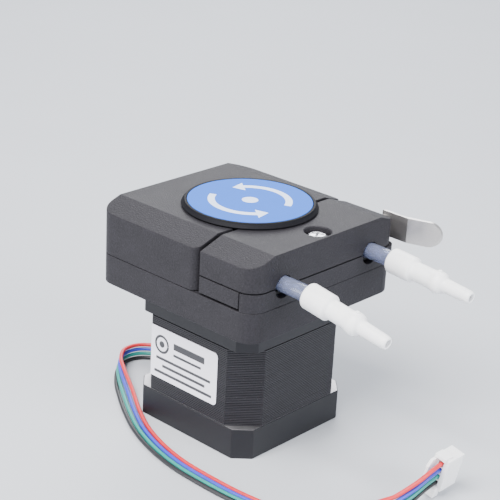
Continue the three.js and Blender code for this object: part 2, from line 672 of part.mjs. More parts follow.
function buildTube() {
  add("pump_tube", sweep(new TubeLine(), circleShape(TUBE.outer, 8, TUBE.inner), 30), FINISH.tube);
  [[-1, "front", FITTING.front], [1, "rear", FITTING.rear]].forEach(([side, word, place]) => {
    add(`hose_fitting_${word}`, hoseFitting(side, place), FINISH.fitting);
    const collar = ring(COLLAR.inner, COLLAR.outer, COLLAR.x0, COLLAR.x1, 20).rotateY(Math.PI / 2);
    add(`tube_collar_${word}`, collar.translate(0, side * TUBE.loop, TUBE.z), FINISH.blackPlastic);
  });
}

// ---------------------------------------------------------------- lead and plug

// One wire of the flat lead: it keeps its place in the row while the row turns from upright to flat and back.
class WireLine extends THREE.Curve {
  constructor(row) {
    super();
    this.row = row;
    this.middle = new THREE.CatmullRomCurve3(LEAD_ROUTE.map(({ at }) => new THREE.Vector3(...at)));
    this.twist = new THREE.CatmullRomCurve3(
      LEAD_ROUTE.map(({ twist }, index) => new THREE.Vector3(index, twist, 0)),
    );
  }

  getPoint(t) {
    const centre = this.middle.getPoint(t);
    const along = this.middle.getTangent(t);
    const left = new THREE.Vector3(-along.y, along.x, 0).normalize();
    const upright = (THREE.MathUtils.clamp(this.twist.getPoint(t).y, 0, LEAD_ROUTE.at(-1).twist) * Math.PI) / 2;
    const nearPlug = THREE.MathUtils.smoothstep(t, 0.9, 0.985);
    const pitch = THREE.MathUtils.lerp(WIRE.pitch, WIRE.plugPitch, nearPlug);
    const offset = this.row * pitch;
    const lowest = WIRE.radius + 0.04 + 1.5 * pitch * Math.sin(upright);
    centre.addScaledVector(left, offset * Math.cos(upright));
    centre.z = Math.max(centre.z, lowest) + offset * Math.sin(upright);
    return centre;
  }
}

// The plug lies a little over, about the middle of its row of wires.
function leaned(geometry) {
  const middle = LEAD_ROUTE.at(-1).at[2];
  geometry.translate(-PLUG.x, 0, -middle);
  return geometry.rotateY(THREE.MathUtils.degToRad(PLUG.lean)).translate(PLUG.x, 0, middle);
}

function plugHousing() {
  const { x, y0, y1, z0, z1, thick, cavity } = PLUG;
  const left = x - thick / 2;
  const right = x + thick / 2;
  const body = join(
    box(left, right, y0, y1, z0, z1),
    box(left, left + 0.8, y0 - 3.4, y0 + 1, z0 + 0.3, z1 - 0.6),
    box(left, right - 0.8, y0 - 1.2, y0 + 1, 0.25, z0 + 0.5),
    box(left, right - 0.8, y0 - 0.6, y0 + 2.4, z1 - 0.5, z1 + 0.5),
  );
  const cavities = wireRows().map((row) => {
    const z = LEAD_ROUTE.at(-1).at[2] + row * WIRE.plugPitch;
    return box(x - cavity / 2, x + cavity / 2, y0 - 1, y1 + 1, z - cavity / 2, z + cavity / 2);
  });
  return leaned(cut(body, ...cavities));
}

function wireRows() {
  return [1.5, 0.5, -0.5, -1.5];
}

function buildLead() {
  const colours = ["red", "blue", "green", "black"];
  wireRows().forEach((row, index) => {
    const colour = colours[index];
    add(`lead_wire_${colour}`, sweep(new WireLine(row), circleShape(WIRE.radius, 8), WIRE.steps), FINISH[colour]);
    const z = LEAD_ROUTE.at(-1).at[2] + row * WIRE.plugPitch;
    const half = PLUG.pin / 2;
    const pin = box(PLUG.x - half, PLUG.x + half, PLUG.pinY0, PLUG.pinY1, z - half, z + half);
    add(`terminal_${colour}`, leaned(pin), FINISH.zinc);
  });
  add("lead_plug", plugHousing(), FINISH.fitting);
}

buildMotor();
buildHead();
buildLever();
buildRotor();
buildTube();
buildLead();

export default pump;
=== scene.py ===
"""Looks of a roller pump head on a stepper motor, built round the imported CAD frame.

Pieces are worked in millimetres, in the frame's own axes, and are released in metres.
"""

import json
import logging
import math
import random
from dataclasses import dataclass, field
from enum import Enum
from typing import Callable, Iterable, Sequence

import bmesh
import bpy
from mathutils import Matrix, Vector

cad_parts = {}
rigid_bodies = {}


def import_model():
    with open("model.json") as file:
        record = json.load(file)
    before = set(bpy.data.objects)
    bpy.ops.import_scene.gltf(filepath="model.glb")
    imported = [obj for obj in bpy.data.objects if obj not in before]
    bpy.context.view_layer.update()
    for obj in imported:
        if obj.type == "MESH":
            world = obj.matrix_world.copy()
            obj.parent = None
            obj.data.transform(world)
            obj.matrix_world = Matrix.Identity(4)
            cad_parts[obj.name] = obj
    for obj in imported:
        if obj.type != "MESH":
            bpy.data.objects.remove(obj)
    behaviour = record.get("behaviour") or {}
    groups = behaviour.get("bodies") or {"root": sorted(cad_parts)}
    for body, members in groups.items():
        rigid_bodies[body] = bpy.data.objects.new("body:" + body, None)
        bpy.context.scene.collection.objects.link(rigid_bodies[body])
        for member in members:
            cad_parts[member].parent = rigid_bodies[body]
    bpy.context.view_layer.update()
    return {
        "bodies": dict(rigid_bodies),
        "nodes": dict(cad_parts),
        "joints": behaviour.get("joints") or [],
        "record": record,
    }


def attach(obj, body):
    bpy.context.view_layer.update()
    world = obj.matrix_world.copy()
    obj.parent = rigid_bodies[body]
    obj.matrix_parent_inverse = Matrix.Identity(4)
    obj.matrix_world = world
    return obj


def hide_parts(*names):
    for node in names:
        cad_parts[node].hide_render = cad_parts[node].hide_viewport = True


LOG = logging.getLogger("roller_pump")
Colour = tuple[float, float, float]
Point = Sequence[float]

MM = 0.001
BOLT_REACH = 15.5  # from the shaft to each motor screw, along X and along Y
BOLT_HOLE = 1.75
WIRE_PITCH = 1.4
WIRE_ROWS = {"red": 1.5, "blue": 0.5, "green": -0.5, "black": -1.5}
LEAD_EXIT = (5.2, 5.5)  # the Y and Z of the lead's middle where it leaves the motor
TUBE_Y = 17.0
TUBE_Z = 52.9
PIVOT = Vector((21.7, 25.9))  # the lever's axis, seen from above
CRANK = 3.9
TRACK_TRAVEL = 3.0
LEVER_SWING = 45.0
HEAD_HALF = 28.25  # from the shaft to each side of the head


class Body(str, Enum):
    """The bodies of the frame that a piece rides on."""

    PUMP = "pump_body"
    ROTOR = "rotor"
    TRACK = "track"
    LEVER = "lever"
    ROLLER_A = "roller_a"
    ROLLER_B = "roller_b"
    ROLLER_C = "roller_c"


class Slot(str, Enum):
    """The record's material slots."""

    ANODISED = "anodised"
    LAMINATIONS = "laminations"
    HEAD = "head_plastic"
    DISC_BLACK = "disc_black"
    DISC_BLUE = "disc_blue"
    LABEL = "label"
    STAINLESS = "stainless"
    SCREW = "screw_steel"
    COPPER = "copper"
    ROLLER = "roller_plastic"
    TUBE = "clear_tube"
    FITTING = "fitting_plastic"
    BLACK = "black_plastic"
    WIRE_RED = "wire_red"
    WIRE_BLUE = "wire_blue"
    WIRE_GREEN = "wire_green"
    WIRE_BLACK = "wire_black"


class Extra(str, Enum):
    """Finishes that the record has no slot for."""

    BARE = "bare_aluminium"
    WHITE_INK = "white_ink"
    DARK_INK = "dark_ink"


class Step(str, Enum):
    """Ways to work one solid into another."""

    CUT = "DIFFERENCE"
    JOIN = "UNION"
    KEEP = "INTERSECT"


# ---------------------------------------------------------------- shader arithmetic


class Signal:
    """A shader socket that takes part in arithmetic: each operator adds one Math node."""

    def __init__(self, bench: "Bench", socket: bpy.types.NodeSocket) -> None:
        """Wraps an output socket.

        Args:
            bench: The bench whose tree holds the socket.
            socket: The output socket.
        """
        self.bench = bench
        self.socket = socket

    def _math(self, operation: str, *values: "Signal | float") -> "Signal":
        """Adds a Math node with the given operands."""
        return self.bench.node("ShaderNodeMath", {"operation": operation}, dict(enumerate(values)))

    def __add__(self, other: "Signal | float") -> "Signal":
        """The sum of two values."""
        return self._math("ADD", self, other)

    def __radd__(self, other: "Signal | float") -> "Signal":
        """The sum of two values."""
        return self._math("ADD", other, self)

    def __sub__(self, other: "Signal | float") -> "Signal":
        """The difference of two values."""
        return self._math("SUBTRACT", self, other)

    def __rsub__(self, other: "Signal | float") -> "Signal":
        """The difference of two values."""
        return self._math("SUBTRACT", other, self)

    def __mul__(self, other: "Signal | float") -> "Signal":
        """The product of two values."""
        return self._math("MULTIPLY", self, other)

    def __rmul__(self, other: "Signal | float") -> "Signal":
        """The product of two values."""
        return self._math("MULTIPLY", other, self)

    def above(self, limit: float) -> "Signal":
        """One where the value is over the limit, and nought elsewhere."""
        return self._math("GREATER_THAN", self, limit)


class Bench:
    """The node tree of one material, where a finish is put together."""

    def __init__(self, name: str) -> None:
        """Starts an empty material.

        Args:
            name: The material's name.
        """
        self.material = bpy.data.materials.new(name)
        self.material.use_nodes = True
        self.tree = self.material.node_tree
        self.tree.nodes.clear()

    def node(
        self,
        kind: str,
        settings: dict[str, object] | None = None,
        inputs: dict[str | int, object] | None = None,
        output: str | int = 0,
    ) -> Signal:
        """Adds a node.

        Args:
            kind: The node's type name.
            settings: Its own properties, set first.
            inputs: The value or Signal of each socket.
            output: The output that is handed back.

        Returns:
            That output.
        """
        made = self.tree.nodes.new(kind)
        for key, value in (settings or {}).items():
            setattr(made, key, value)
        for key, value in (inputs or {}).items():
            socket = made.inputs[key]
            if isinstance(value, Signal):
                self.tree.links.new(value.socket, socket)
            else:
                socket.default_value = value
        return Signal(self, made.outputs[output])

    def place(self, stretch: Point = (1, 1, 1)) -> Signal:
        """Where a point lies on the object, in millimetres divided by the stretch along each axis.

        Args:
            stretch: How much the pattern is drawn out along X, Y and Z.

        Returns:
            The place, as a vector.
        """
        scale = [1 / (MM * share) for share in stretch]
        spot = self.node("ShaderNodeTexCoord", output="Object")
        return self.node("ShaderNodeMapping", inputs={"Vector": spot, "Scale": scale})

    def noise(self, size: float, detail: float = 2, stretch: Point = (1, 1, 1)) -> Signal:
        """Soft noise from 0 to 1 whose lumps are about size millimetres across."""
        inputs = {"Vector": self.place(stretch), "Scale": 1 / size, "Detail": detail}
        return self.node("ShaderNodeTexNoise", inputs=inputs)

    def shaded(self, colour: Colour, shade: Signal, spread: float) -> Signal:
        """A colour that gets lighter and darker with a value round nought.

        Args:
            colour: The middle colour.
            shade: The value, from about -0.5 to 0.5.
            spread: How much lighter and darker it gets, as a share of the colour.

        Returns:
            The varying colour.
        """
        dark = (*(part * (1 - spread) for part in colour), 1)
        light = (*(min(part * (1 + spread), 1) for part in colour), 1)
        return self.blended(shade + 0.5, dark, light)

    def blended(self, factor: Signal, first: object, second: object) -> Signal:
        """The first colour where the factor is nought, and the second where it is one."""
        settings = {"data_type": "RGBA", "clamp_factor": True}
        return self.node("ShaderNodeMix", settings, {0: factor, 6: first, 7: second}, output=2)

    def relief(self, height: Signal, depth: float, strength: float = 1) -> Signal:
        """A normal that follows a height from 0 to 1, over a depth in millimetres."""
        inputs = {"Height": height, "Distance": depth * MM, "Strength": strength}
        return self.node("ShaderNodeBump", inputs=inputs)

    def surface(self, sockets: dict[str, object]) -> bpy.types.Material:
        """Ends the finish in one shader.

        Args:
            sockets: The shader's sockets, as plain values or as Signals.

        Returns:
            The finished material.
        """
        shader = self.node("ShaderNodeBsdfPrincipled", inputs=sockets)
        output = self.tree.nodes.new("ShaderNodeOutputMaterial")
        self.tree.links.new(shader.socket, output.inputs["Surface"])
        return self.material


# ---------------------------------------------------------------- finishes


@dataclass(frozen=True)
class GrainedPlastic:
    """Moulded plastic with a fine spark-eroded grain."""

    colour: Colour
    roughness: float = 0.52
    grain: float = 0.42
    depth: float = 0.07
    spread: float = 0.6
    shine: float = 0.36

    def material(self, name: str) -> bpy.types.Material:
        """Makes the material under the given name.

        Args:
            name: The material's name.

        Returns:
            The finished material.
        """
        bench = Bench(name)
        fine = bench.noise(self.grain, detail=3)
        cloud = bench.noise(7, detail=2)
        specks = bench.noise(self.grain * 0.9, detail=1).above(0.7)
        shade = (fine - 0.5) * 1.3 + (cloud - 0.5) * 0.5 + specks * 0.35
        return bench.surface({
            "Base Color": bench.shaded(self.colour, shade, self.spread),
            "Roughness": (fine - 0.5) * 0.2 + (cloud - 0.5) * 0.12 - specks * 0.15 + self.roughness,
            "Specular IOR Level": self.shine,
            "Normal": bench.relief(fine, self.depth, 0.9),
        })


@dataclass(frozen=True)
class AnodisedAluminium:
    """Cast aluminium, blasted and anodised."""

    colour: Colour
    roughness: float = 0.5
    metallic: float = 0.3

    def material(self, name: str) -> bpy.types.Material:
        """Makes the material under the given name.

        Args:
            name: The material's name.

        Returns:
            The finished material.
        """
        bench = Bench(name)
        fine = bench.noise(0.22, detail=2)
        cloud = bench.noise(5, detail=3)
        shade = (fine - 0.5) * 0.8 + (cloud - 0.5) * 0.8
        return bench.surface({
            "Base Color": bench.shaded(self.colour, shade, 0.3),
            "Roughness": (fine - 0.5) * 0.15 + (cloud - 0.5) * 0.2 + self.roughness,
            "Metallic": self.metallic,
            "Normal": bench.relief(fine, 0.02, 0.5),
        })


@dataclass(frozen=True)
class BrushedMetal:
    """Bright metal with fine brushing or turning marks along one axis."""

    colour: Colour
    roughness: float = 0.28
    along: Point = (14, 1, 1)
    line: float = 0.12
    depth: float = 0.006

    def material(self, name: str) -> bpy.types.Material:
        """Makes the material under the given name.

        Args:
            name: The material's name.

        Returns:
            The finished material.
        """
        bench = Bench(name)
        lines = bench.noise(self.line, detail=2, stretch=self.along)
        cloud = bench.noise(3, detail=2)
        shade = (lines - 0.5) * 0.7 + (cloud - 0.5) * 0.5
        return bench.surface({
            "Base Color": bench.shaded(self.colour, shade, 0.18),
            "Roughness": (lines - 0.5) * 0.18 + (cloud - 0.5) * 0.16 + self.roughness,
            "Metallic": 1.0,
            "Normal": bench.relief(lines, self.depth, 0.6),
        })


@dataclass(frozen=True)
class SheetStack:
    """Edges of punched steel sheets with a black oxide, each a little different from the next, with light
    specks painted in as glints.
    """

    colour: Colour
    sheet: float = 0.5

    def material(self, name: str) -> bpy.types.Material:
        """Makes the material under the given name.

        Args:
            name: The material's name.

        Returns:
            The finished material.
        """
        bench = Bench(name)
        flat = (60, 60, 1)
        sheets = bench.noise(self.sheet * 0.7, detail=1, stretch=flat)
        fine = bench.noise(0.15, detail=2)
        # painted glints: light grey specks mixed into the colour where sheet edges would catch the light
        painted_glints = bench.noise(0.3, detail=2, stretch=(1.6, 1.6, 0.6)).above(0.74)
        tone = bench.shaded(self.colour, (sheets - 0.5) * 1.1 + (fine - 0.5) * 0.2, 0.55)
        return bench.surface({
            "Base Color": bench.blended(painted_glints * 0.55, tone, (0.3, 0.29, 0.28, 1)),
            "Roughness": (sheets - 0.5) * 0.2 + (fine - 0.5) * 0.15 + 0.42,
            "Metallic": 0.4,
            "Normal": bench.relief(fine, 0.015, 0.5),
        })


@dataclass(frozen=True)
class PrintedFilm:
    """A printed plastic film or paper label with a faint weave."""

    colour: Colour
    roughness: float = 0.38
    shine: float = 0.5

    def material(self, name: str) -> bpy.types.Material:
        """Makes the material under the given name.

        Args:
            name: The material's name.

        Returns:
            The finished material.
        """
        bench = Bench(name)
        fibre = bench.noise(0.3, detail=3)
        cloud = bench.noise(9, detail=1)
        return bench.surface({
            "Base Color": bench.shaded(self.colour, (fibre - 0.5) * 0.4 + (cloud - 0.5) * 0.6, 0.06),
            "Roughness": (fibre - 0.5) * 0.1 + self.roughness,
            "Specular IOR Level": self.shine,
            "Normal": bench.relief(fibre, 0.01, 0.25),
        })


@dataclass(frozen=True)
class MilkyPlastic:
    """Unfilled white or natural plastic that lets some light in."""

    colour: Colour
    depth: float = 1.5
    roughness: float = 0.36
    glow: float = 0.35

    def material(self, name: str) -> bpy.types.Material:
        """Makes the material under the given name.

        Args:
            name: The material's name.

        Returns:
            The finished material.
        """
        bench = Bench(name)
        cloud = bench.noise(2.5, detail=2)
        fine = bench.noise(0.25, detail=2)
        return bench.surface({
            "Base Color": bench.shaded(self.colour, (cloud - 0.5) * 0.8, 0.05),
            "Roughness": (cloud - 0.5) * 0.14 + self.roughness,
            "Subsurface Weight": self.glow,
            "Subsurface Radius": (1.0, 1.0, 1.0),
            "Subsurface Scale": self.depth * MM,
            "Normal": bench.relief(fine, 0.01, 0.3),
        })


@dataclass(frozen=True)
class ClearSilicone:
    """Soft clear tube: hazy, with faint lines along it from the die."""

    colour: Colour

    def material(self, name: str) -> bpy.types.Material:
        """Makes the material under the given name.

        Args:
            name: The material's name.

        Returns:
            The finished material.
        """
        bench = Bench(name)
        lines = bench.noise(0.35, detail=2, stretch=(30, 1, 1))
        cloud = bench.noise(3, detail=2)
        return bench.surface({
            "Base Color": bench.shaded(self.colour, (lines - 0.5) * 0.9, 0.12),
            "Roughness": (cloud - 0.5) * 0.08 + 0.14,
            "IOR": 1.41,
            "Transmission Weight": 0.7,
            "Subsurface Weight": 0.1,
            "Subsurface Radius": (1.0, 1.0, 1.0),
            "Subsurface Scale": 2 * MM,
            "Normal": bench.relief(lines, 0.02, 0.3),
        })


@dataclass(frozen=True)
class WireInsulation:
    """Extruded wire insulation, satin and a little uneven."""

    colour: Colour

    def material(self, name: str) -> bpy.types.Material:
        """Makes the material under the given name.

        Args:
            name: The material's name.

        Returns:
            The finished material.
        """
        bench = Bench(name)
        cloud = bench.noise(1.6, detail=3)
        return bench.surface({
            "Base Color": bench.shaded(self.colour, (cloud - 0.5) * 1.0, 0.14),
            "Roughness": (cloud - 0.5) * 0.2 + 0.4,
            "Normal": bench.relief(cloud, 0.03, 0.25),
        })


class Finishes:
    """Every finish of the pump, made once and handed out by the record's slot names."""

    CAD_EDGE = 0.08
    CAD_EDGE_TURN = 50
    CATALOGUE = {
        Slot.ANODISED: AnodisedAluminium((0.008, 0.008, 0.011)),
        Slot.LAMINATIONS: SheetStack((0.020, 0.019, 0.023)),
        Slot.HEAD: GrainedPlastic(
            (0.0200, 0.0188, 0.0225), roughness=0.55, grain=0.42, depth=0.13, spread=0.5, shine=0.16
        ),
        Slot.DISC_BLACK: GrainedPlastic(
            (0.006, 0.006, 0.008), roughness=0.6, grain=0.3, depth=0.03, spread=0.5, shine=0.1
        ),
        Slot.DISC_BLUE: PrintedFilm((0.006, 0.115, 0.56), roughness=0.5, shine=0.08),
        Slot.LABEL: PrintedFilm((0.88, 0.86, 0.95), roughness=0.45),
        Slot.STAINLESS: BrushedMetal((0.68, 0.655, 0.64), roughness=0.4),
        Slot.SCREW: BrushedMetal(
            (0.66, 0.66, 0.68), roughness=0.26, along=(1, 1, 1), line=0.2, depth=0.01
        ),
        Slot.COPPER: BrushedMetal((0.5, 0.2, 0.09), roughness=0.35, along=(1, 1, 6), line=0.3),
        Slot.ROLLER: MilkyPlastic((0.8, 0.79, 0.74)),
        Slot.TUBE: ClearSilicone((0.33, 0.37, 0.55)),
        Slot.FITTING: MilkyPlastic((0.95, 0.95, 0.98)),
        Slot.BLACK: GrainedPlastic(
            (0.012, 0.012, 0.014), roughness=0.45, grain=0.2, depth=0.015, spread=0.3
        ),
        Slot.WIRE_RED: WireInsulation((0.60, 0.02, 0.03)),
        Slot.WIRE_BLUE: WireInsulation((0.035, 0.055, 0.50)),
        Slot.WIRE_GREEN: WireInsulation((0.015, 0.25, 0.21)),
        Slot.WIRE_BLACK: WireInsulation((0.014, 0.014, 0.017)),
    }
    EXTRAS = {
        Extra.BARE: BrushedMetal((0.42, 0.41, 0.43), roughness=0.45, along=(6, 1, 1), line=0.2),
        Extra.WHITE_INK: PrintedFilm((0.62, 0.72, 0.92), roughness=0.5, shine=0.1),
        Extra.DARK_INK: PrintedFilm((0.03, 0.03, 0.035), roughness=0.42),
    }

    def __init__(self) -> None:
        """Makes the materials."""
        every = {**self.CATALOGUE, **self.EXTRAS}
        self.materials = {key: finish.material(key.value) for key, finish in every.items()}

    def __getitem__(self, key: Slot | Extra) -> bpy.types.Material:
        """The material of that slot or extra finish."""
        return self.materials[key]

    def dress_cad(self, frame: dict) -> None:
        """Gives every CAD node the finish of its slot, and softens its hard edges.
        """
        for entry in frame["record"]["subparts"]:
            node = frame["nodes"][entry["node"]]
            for holder in node.material_slots:
                holder.material = self.materials[Slot(entry["material_slot"])]
            edge = node.modifiers.new("edge", "BEVEL")
            edge.width = self.CAD_EDGE * MM
            edge.segments = 1
            edge.limit_method = "ANGLE"
            edge.angle_limit = math.radians(self.CAD_EDGE_TURN)


# ---------------------------------------------------------------- outlines


def rounded(points: Iterable[Point], turn: float = 7) -> list[Vector]:
    """An outline whose corners are rounded.

    Args:
        points: Its corners, each (x, y) or (x, y, radius).
        turn: The most degrees between two neighbouring stretches of an arc.

    Returns:
        The points of the rounded outline.
    """
    corners = [(Vector((p[0], p[1])), p[2] if len(p) > 2 else 0.0) for p in points]
    line: list[Vector] = []
    for index, (corner, radius) in enumerate(corners):
        before = corners[index - 1][0] - corner
        after = corners[(index + 1) % len(corners)][0] - corner
        if radius <= 0:
            line.append(corner)
            continue
        half = before.angle(after) / 2
        reach = radius / math.tan(half)
        start = corner + before.normalized() * reach
        end = corner + after.normalized() * reach
        centre = corner + (before.normalized() + after.normalized()).normalized() * (radius / math.sin(half))
        sweep = math.pi - 2 * half
        steps = max(2, math.ceil(math.degrees(sweep) / turn))
        first = start - centre
        sign = 1 if first.x * (end - centre).y - first.y * (end - centre).x > 0 else -1
        for step in range(steps + 1):
            line.append(centre + Matrix.Rotation(sign * sweep * step / steps, 2) @ first)
    return line


def rectangle(x0: float, x1: float, y0: float, y1: float, radii: Point = (0, 0, 0, 0)) -> list[Vector]:
    """A rectangle with one radius per corner, counter-clockwise from (x0, y0)."""
    a, b, c, d = radii
    return rounded([(x0, y0, a), (x1, y0, b), (x1, y1, c), (x0, y1, d)])


def circle(radius: float, x: float = 0, y: float = 0, sides: int = 48) -> list[Vector]:
    """A circle round a point."""
    steps = (2 * math.pi * index / sides for index in range(sides))
    return [Vector((x + radius * math.cos(angle), y + radius * math.sin(angle))) for angle in steps]


def arc_points(radius: float, start: float, end: float, sides: int = 32) -> list[Vector]:
    """Points along an arc round the origin, from one angle to another, in degrees."""
    angles = (math.radians(start + (end - start) * index / sides) for index in range(sides + 1))
    return [Vector((radius * math.cos(angle), radius * math.sin(angle))) for angle in angles]


def band(line: Sequence[Vector], half: float) -> list[Vector]:
    """The outline of a strip of constant width along a line.

    Args:
        line: The middle line, seen from above.
        half: Half of the width.

    Returns:
        The outline, down one side and back up the other.
    """
    sides: list[list[Vector]] = [[], []]
    for index, point in enumerate(line):
        ahead = line[min(index + 1, len(line) - 1)]
        behind = line[max(index - 1, 0)]
        along = (ahead - behind).normalized()
        across = Vector((-along.y, along.x)) * half
        sides[0].append(point - across)
        sides[1].append(point + across)
    return sides[0] + sides[1][::-1]


def four_corners(distance: float) -> list[tuple[float, float]]:
    """The four points at that distance from both middle planes."""
    return [(-distance, -distance), (distance, -distance), (distance, distance), (-distance, distance)]


def along_x(start: float) -> Matrix:
    """Turns an outline of (y, z) raised along Z so that it is raised along X from start."""
    return Matrix(((0, 0, 1, start), (1, 0, 0, 0), (0, 1, 0, 0), (0, 0, 0, 1)))


def towards_front(start: float) -> Matrix:
    """Turns an outline of (x, z) raised along Z so that it is raised towards -Y from start."""
    return Matrix(((1, 0, 0, 0), (0, 0, -1, start), (0, 1, 0, 0), (0, 0, 0, 1)))


def cross_outline(reach: float, half: float) -> list[Vector]:
    """The plus-shaped recess of a cross-head screw.

    Args:
        reach: How far each arm goes from the middle.
        half: Half of an arm's width.

    Returns:
        Its twelve corners, in order.
    """
    points = [
        (reach, -half), (reach, half), (half, half), (half, reach), (-half, reach), (-half, half),
        (-reach, half), (-reach, -half), (-half, -half), (-half, -reach), (half, -reach), (half, -half),
    ]
    return [Vector(point) for point in points]


# ---------------------------------------------------------------- solids


class Blank:
    """A solid on the bench: raised, turned, cut and softened in millimetres, then released as a piece."""

    def __init__(self, vertices: Sequence[Point], faces: Sequence[Sequence[int]]) -> None:
        """Makes a closed solid with its faces turned out.

        Args:
            vertices: Its points.
            faces: Its faces, as indices of points.
        """
        mesh = bpy.data.meshes.new("blank")
        mesh.from_pydata([tuple(v) for v in vertices], [], [tuple(f) for f in faces])
        work = bmesh.new()
        work.from_mesh(mesh)
        bmesh.ops.remove_doubles(work, verts=work.verts, dist=1e-5)
        bmesh.ops.recalc_face_normals(work, faces=work.faces)
        work.to_mesh(mesh)
        work.free()
        self.obj = bpy.data.objects.new("blank", mesh)
        bpy.context.scene.collection.objects.link(self.obj)

    @classmethod
    def raised(cls, outline: Sequence[Vector], z0: float, z1: float) -> "Blank":
        """A prism of an outline, from one height to another."""
        return cls.lofted([[(p.x, p.y, z) for p in outline] for z in (z0, z1)])

    @classmethod
    def lofted(cls, rings: Sequence[Sequence[Point]], looped: bool = False) -> "Blank":
        """A skin over rings of equal counts.

        Args:
            rings: The rings, from one end to the other.
            looped: Whether the last ring joins the first, in place of two end faces.

        Returns:
            The solid.
        """
        count = len(rings[0])
        faces: list[list[int]] = []
        spans = len(rings) if looped else len(rings) - 1
        for ring in range(spans):
            base, top = ring * count, (ring + 1) % len(rings) * count
            for side in range(count):
                following = (side + 1) % count
                faces.append([base + side, base + following, top + following, top + side])
        if not looped:
            faces.append(list(range(count))[::-1])
            faces.append([(len(rings) - 1) * count + side for side in range(count)])
        return cls([point for ring in rings for point in ring], faces)

    @classmethod
    def turned(cls, profile: Sequence[Point], sides: int = 96) -> "Blank":
        """A solid of revolution round Z.

        Args:
            profile: A closed outline of (radius, height); a radius of nought lies on the axis.
            sides: The number of steps round.

        Returns:
            The solid.
        """
        rings = []
        for index in range(sides):
            angle = 2 * math.pi * index / sides
            rings.append([(p[0] * math.cos(angle), p[0] * math.sin(angle), p[1]) for p in profile])
        made = cls.lofted(rings, looped=True)
        work = bmesh.new()
        work.from_mesh(made.obj.data)
        bmesh.ops.dissolve_degenerate(work, dist=1e-5, edges=work.edges)
        loose = [edge for edge in work.edges if not edge.link_faces]
        bmesh.ops.delete(work, geom=loose, context="EDGES")
        bmesh.ops.recalc_face_normals(work, faces=work.faces)
        work.to_mesh(made.obj.data)
        work.free()
        return made

    @classmethod
    def post(
        cls, radius: float, z0: float, z1: float, x: float = 0, y: float = 0, flare: float = 0
    ) -> "Blank":
        """A round bar along Z, which opens by flare at its upper end as a chamfered hole does.

        Args:
            radius: The bar's radius.
            z0: Its lower end.
            z1: Its upper end.
            x: The place of its axis along X.
            y: The place of its axis along Y.
            flare: How much the radius grows over the last stretch of the same height.

        Returns:
            The solid.
        """
        heights = [(z0, radius), (z1, radius)]
        if flare:
            heights[1:] = [(z1 - flare, radius), (z1, radius + flare)]
        return cls.lofted([[(*point, z) for point in circle(r, x, y)] for z, r in heights])

    @classmethod
    def rod(cls, radius: float, x0: float, x1: float, y: float, z: float) -> "Blank":
        """A round bar along X."""
        return cls.lofted([[(x, y + p.x, z + p.y) for p in circle(radius)] for x in (x0, x1)])

    @classmethod
    def block(cls, low: Point, high: Point) -> "Blank":
        """A cutter or rib between two corners."""
        return cls.raised(rectangle(low[0], high[0], low[1], high[1]), low[2], high[2])

    @classmethod
    def swept(cls, line: Sequence[Vector], outer: float, inner: float, sides: int = 28) -> "Blank":
        """A hollow tube along a line.

        Args:
            line: The middle line.
            outer: The outer radius.
            inner: The radius of the bore.
            sides: The number of steps round.

        Returns:
            The solid, open at both ends.
        """
        rings: list[list[Vector]] = []
        side = Vector((0, 0, 1))
        for index, point in enumerate(line):
            along = (line[min(index + 1, len(line) - 1)] - line[max(index - 1, 0)]).normalized()
            side = (side - along * side.dot(along)).normalized()
            across = along.cross(side)
            for ring, radius in enumerate((outer, inner)):
                around = circle(radius, sides=sides)
                ends = [point + side * spot.x + across * spot.y for spot in around]
                rings.insert(index if ring == 0 else len(rings), ends)
        outside, inside = rings[: len(line)], rings[len(line):]
        return cls.lofted(outside + inside[::-1], looped=True)

    def bake(self) -> "Blank":
        """Applies what has been put on the solid.

        Returns:
            This same solid.
        """
        bpy.context.view_layer.update()
        graph = bpy.context.evaluated_depsgraph_get()
        mesh = bpy.data.meshes.new_from_object(self.obj.evaluated_get(graph))
        self.obj.modifiers.clear()
        stale = self.obj.data
        self.obj.data = mesh
        bpy.data.meshes.remove(stale)
        return self

    def soften(self, width: float, segments: int = 3, angle: float = 40) -> "Blank":
        """Rounds every edge that turns by more than the angle.

        Args:
            width: How wide each rounding is.
            segments: The number of faces across a rounding.
            angle: The least turn in degrees that is rounded.

        Returns:
            This same solid.
        """
        edge = self.obj.modifiers.new("edge", "BEVEL")
        edge.width = width
        edge.segments = segments
        edge.limit_method = "ANGLE"
        edge.angle_limit = math.radians(angle)
        edge.use_clamp_overlap = True
        edge.miter_outer = "MITER_ARC"
        return self.bake()

    def _combine(self, kind: Step, others: Iterable["Blank"]) -> "Blank":
        """Works other solids into this one and takes them off the bench.

        Args:
            kind: How they are worked in.
            others: The other solids, one after the other.

        Returns:
            This same solid.
        """
        for other in others:
            step = self.obj.modifiers.new("step", "BOOLEAN")
            step.operation = kind.value
            step.solver = "EXACT"
            step.object = other.obj
            self.bake()
            stale = other.obj.data
            bpy.data.objects.remove(other.obj)
            bpy.data.meshes.remove(stale)
        return self

    def cut(self, *others: "Blank") -> "Blank":
        """Takes the other solids away."""
        return self._combine(Step.CUT, others)

    def join(self, *others: "Blank") -> "Blank":
        """Adds the other solids."""
        return self._combine(Step.JOIN, others)

    def keep(self, *others: "Blank") -> "Blank":
        """Keeps what lies in the other solids too."""
        return self._combine(Step.KEEP, others)

    def moved(self, matrix: Matrix) -> "Blank":
        """Moves or turns the solid."""
        self.obj.data.transform(matrix)
        return self

    def open_edges(self) -> int:
        """How many edges don't join exactly two faces, or one for a solid that is gone.

        Returns:
            The number of such edges.
        """
        work = bmesh.new()
        work.from_mesh(self.obj.data)
        count = sum(1 for edge in work.edges if len(edge.link_faces) != 2) if work.faces else 1
        work.free()
        return count

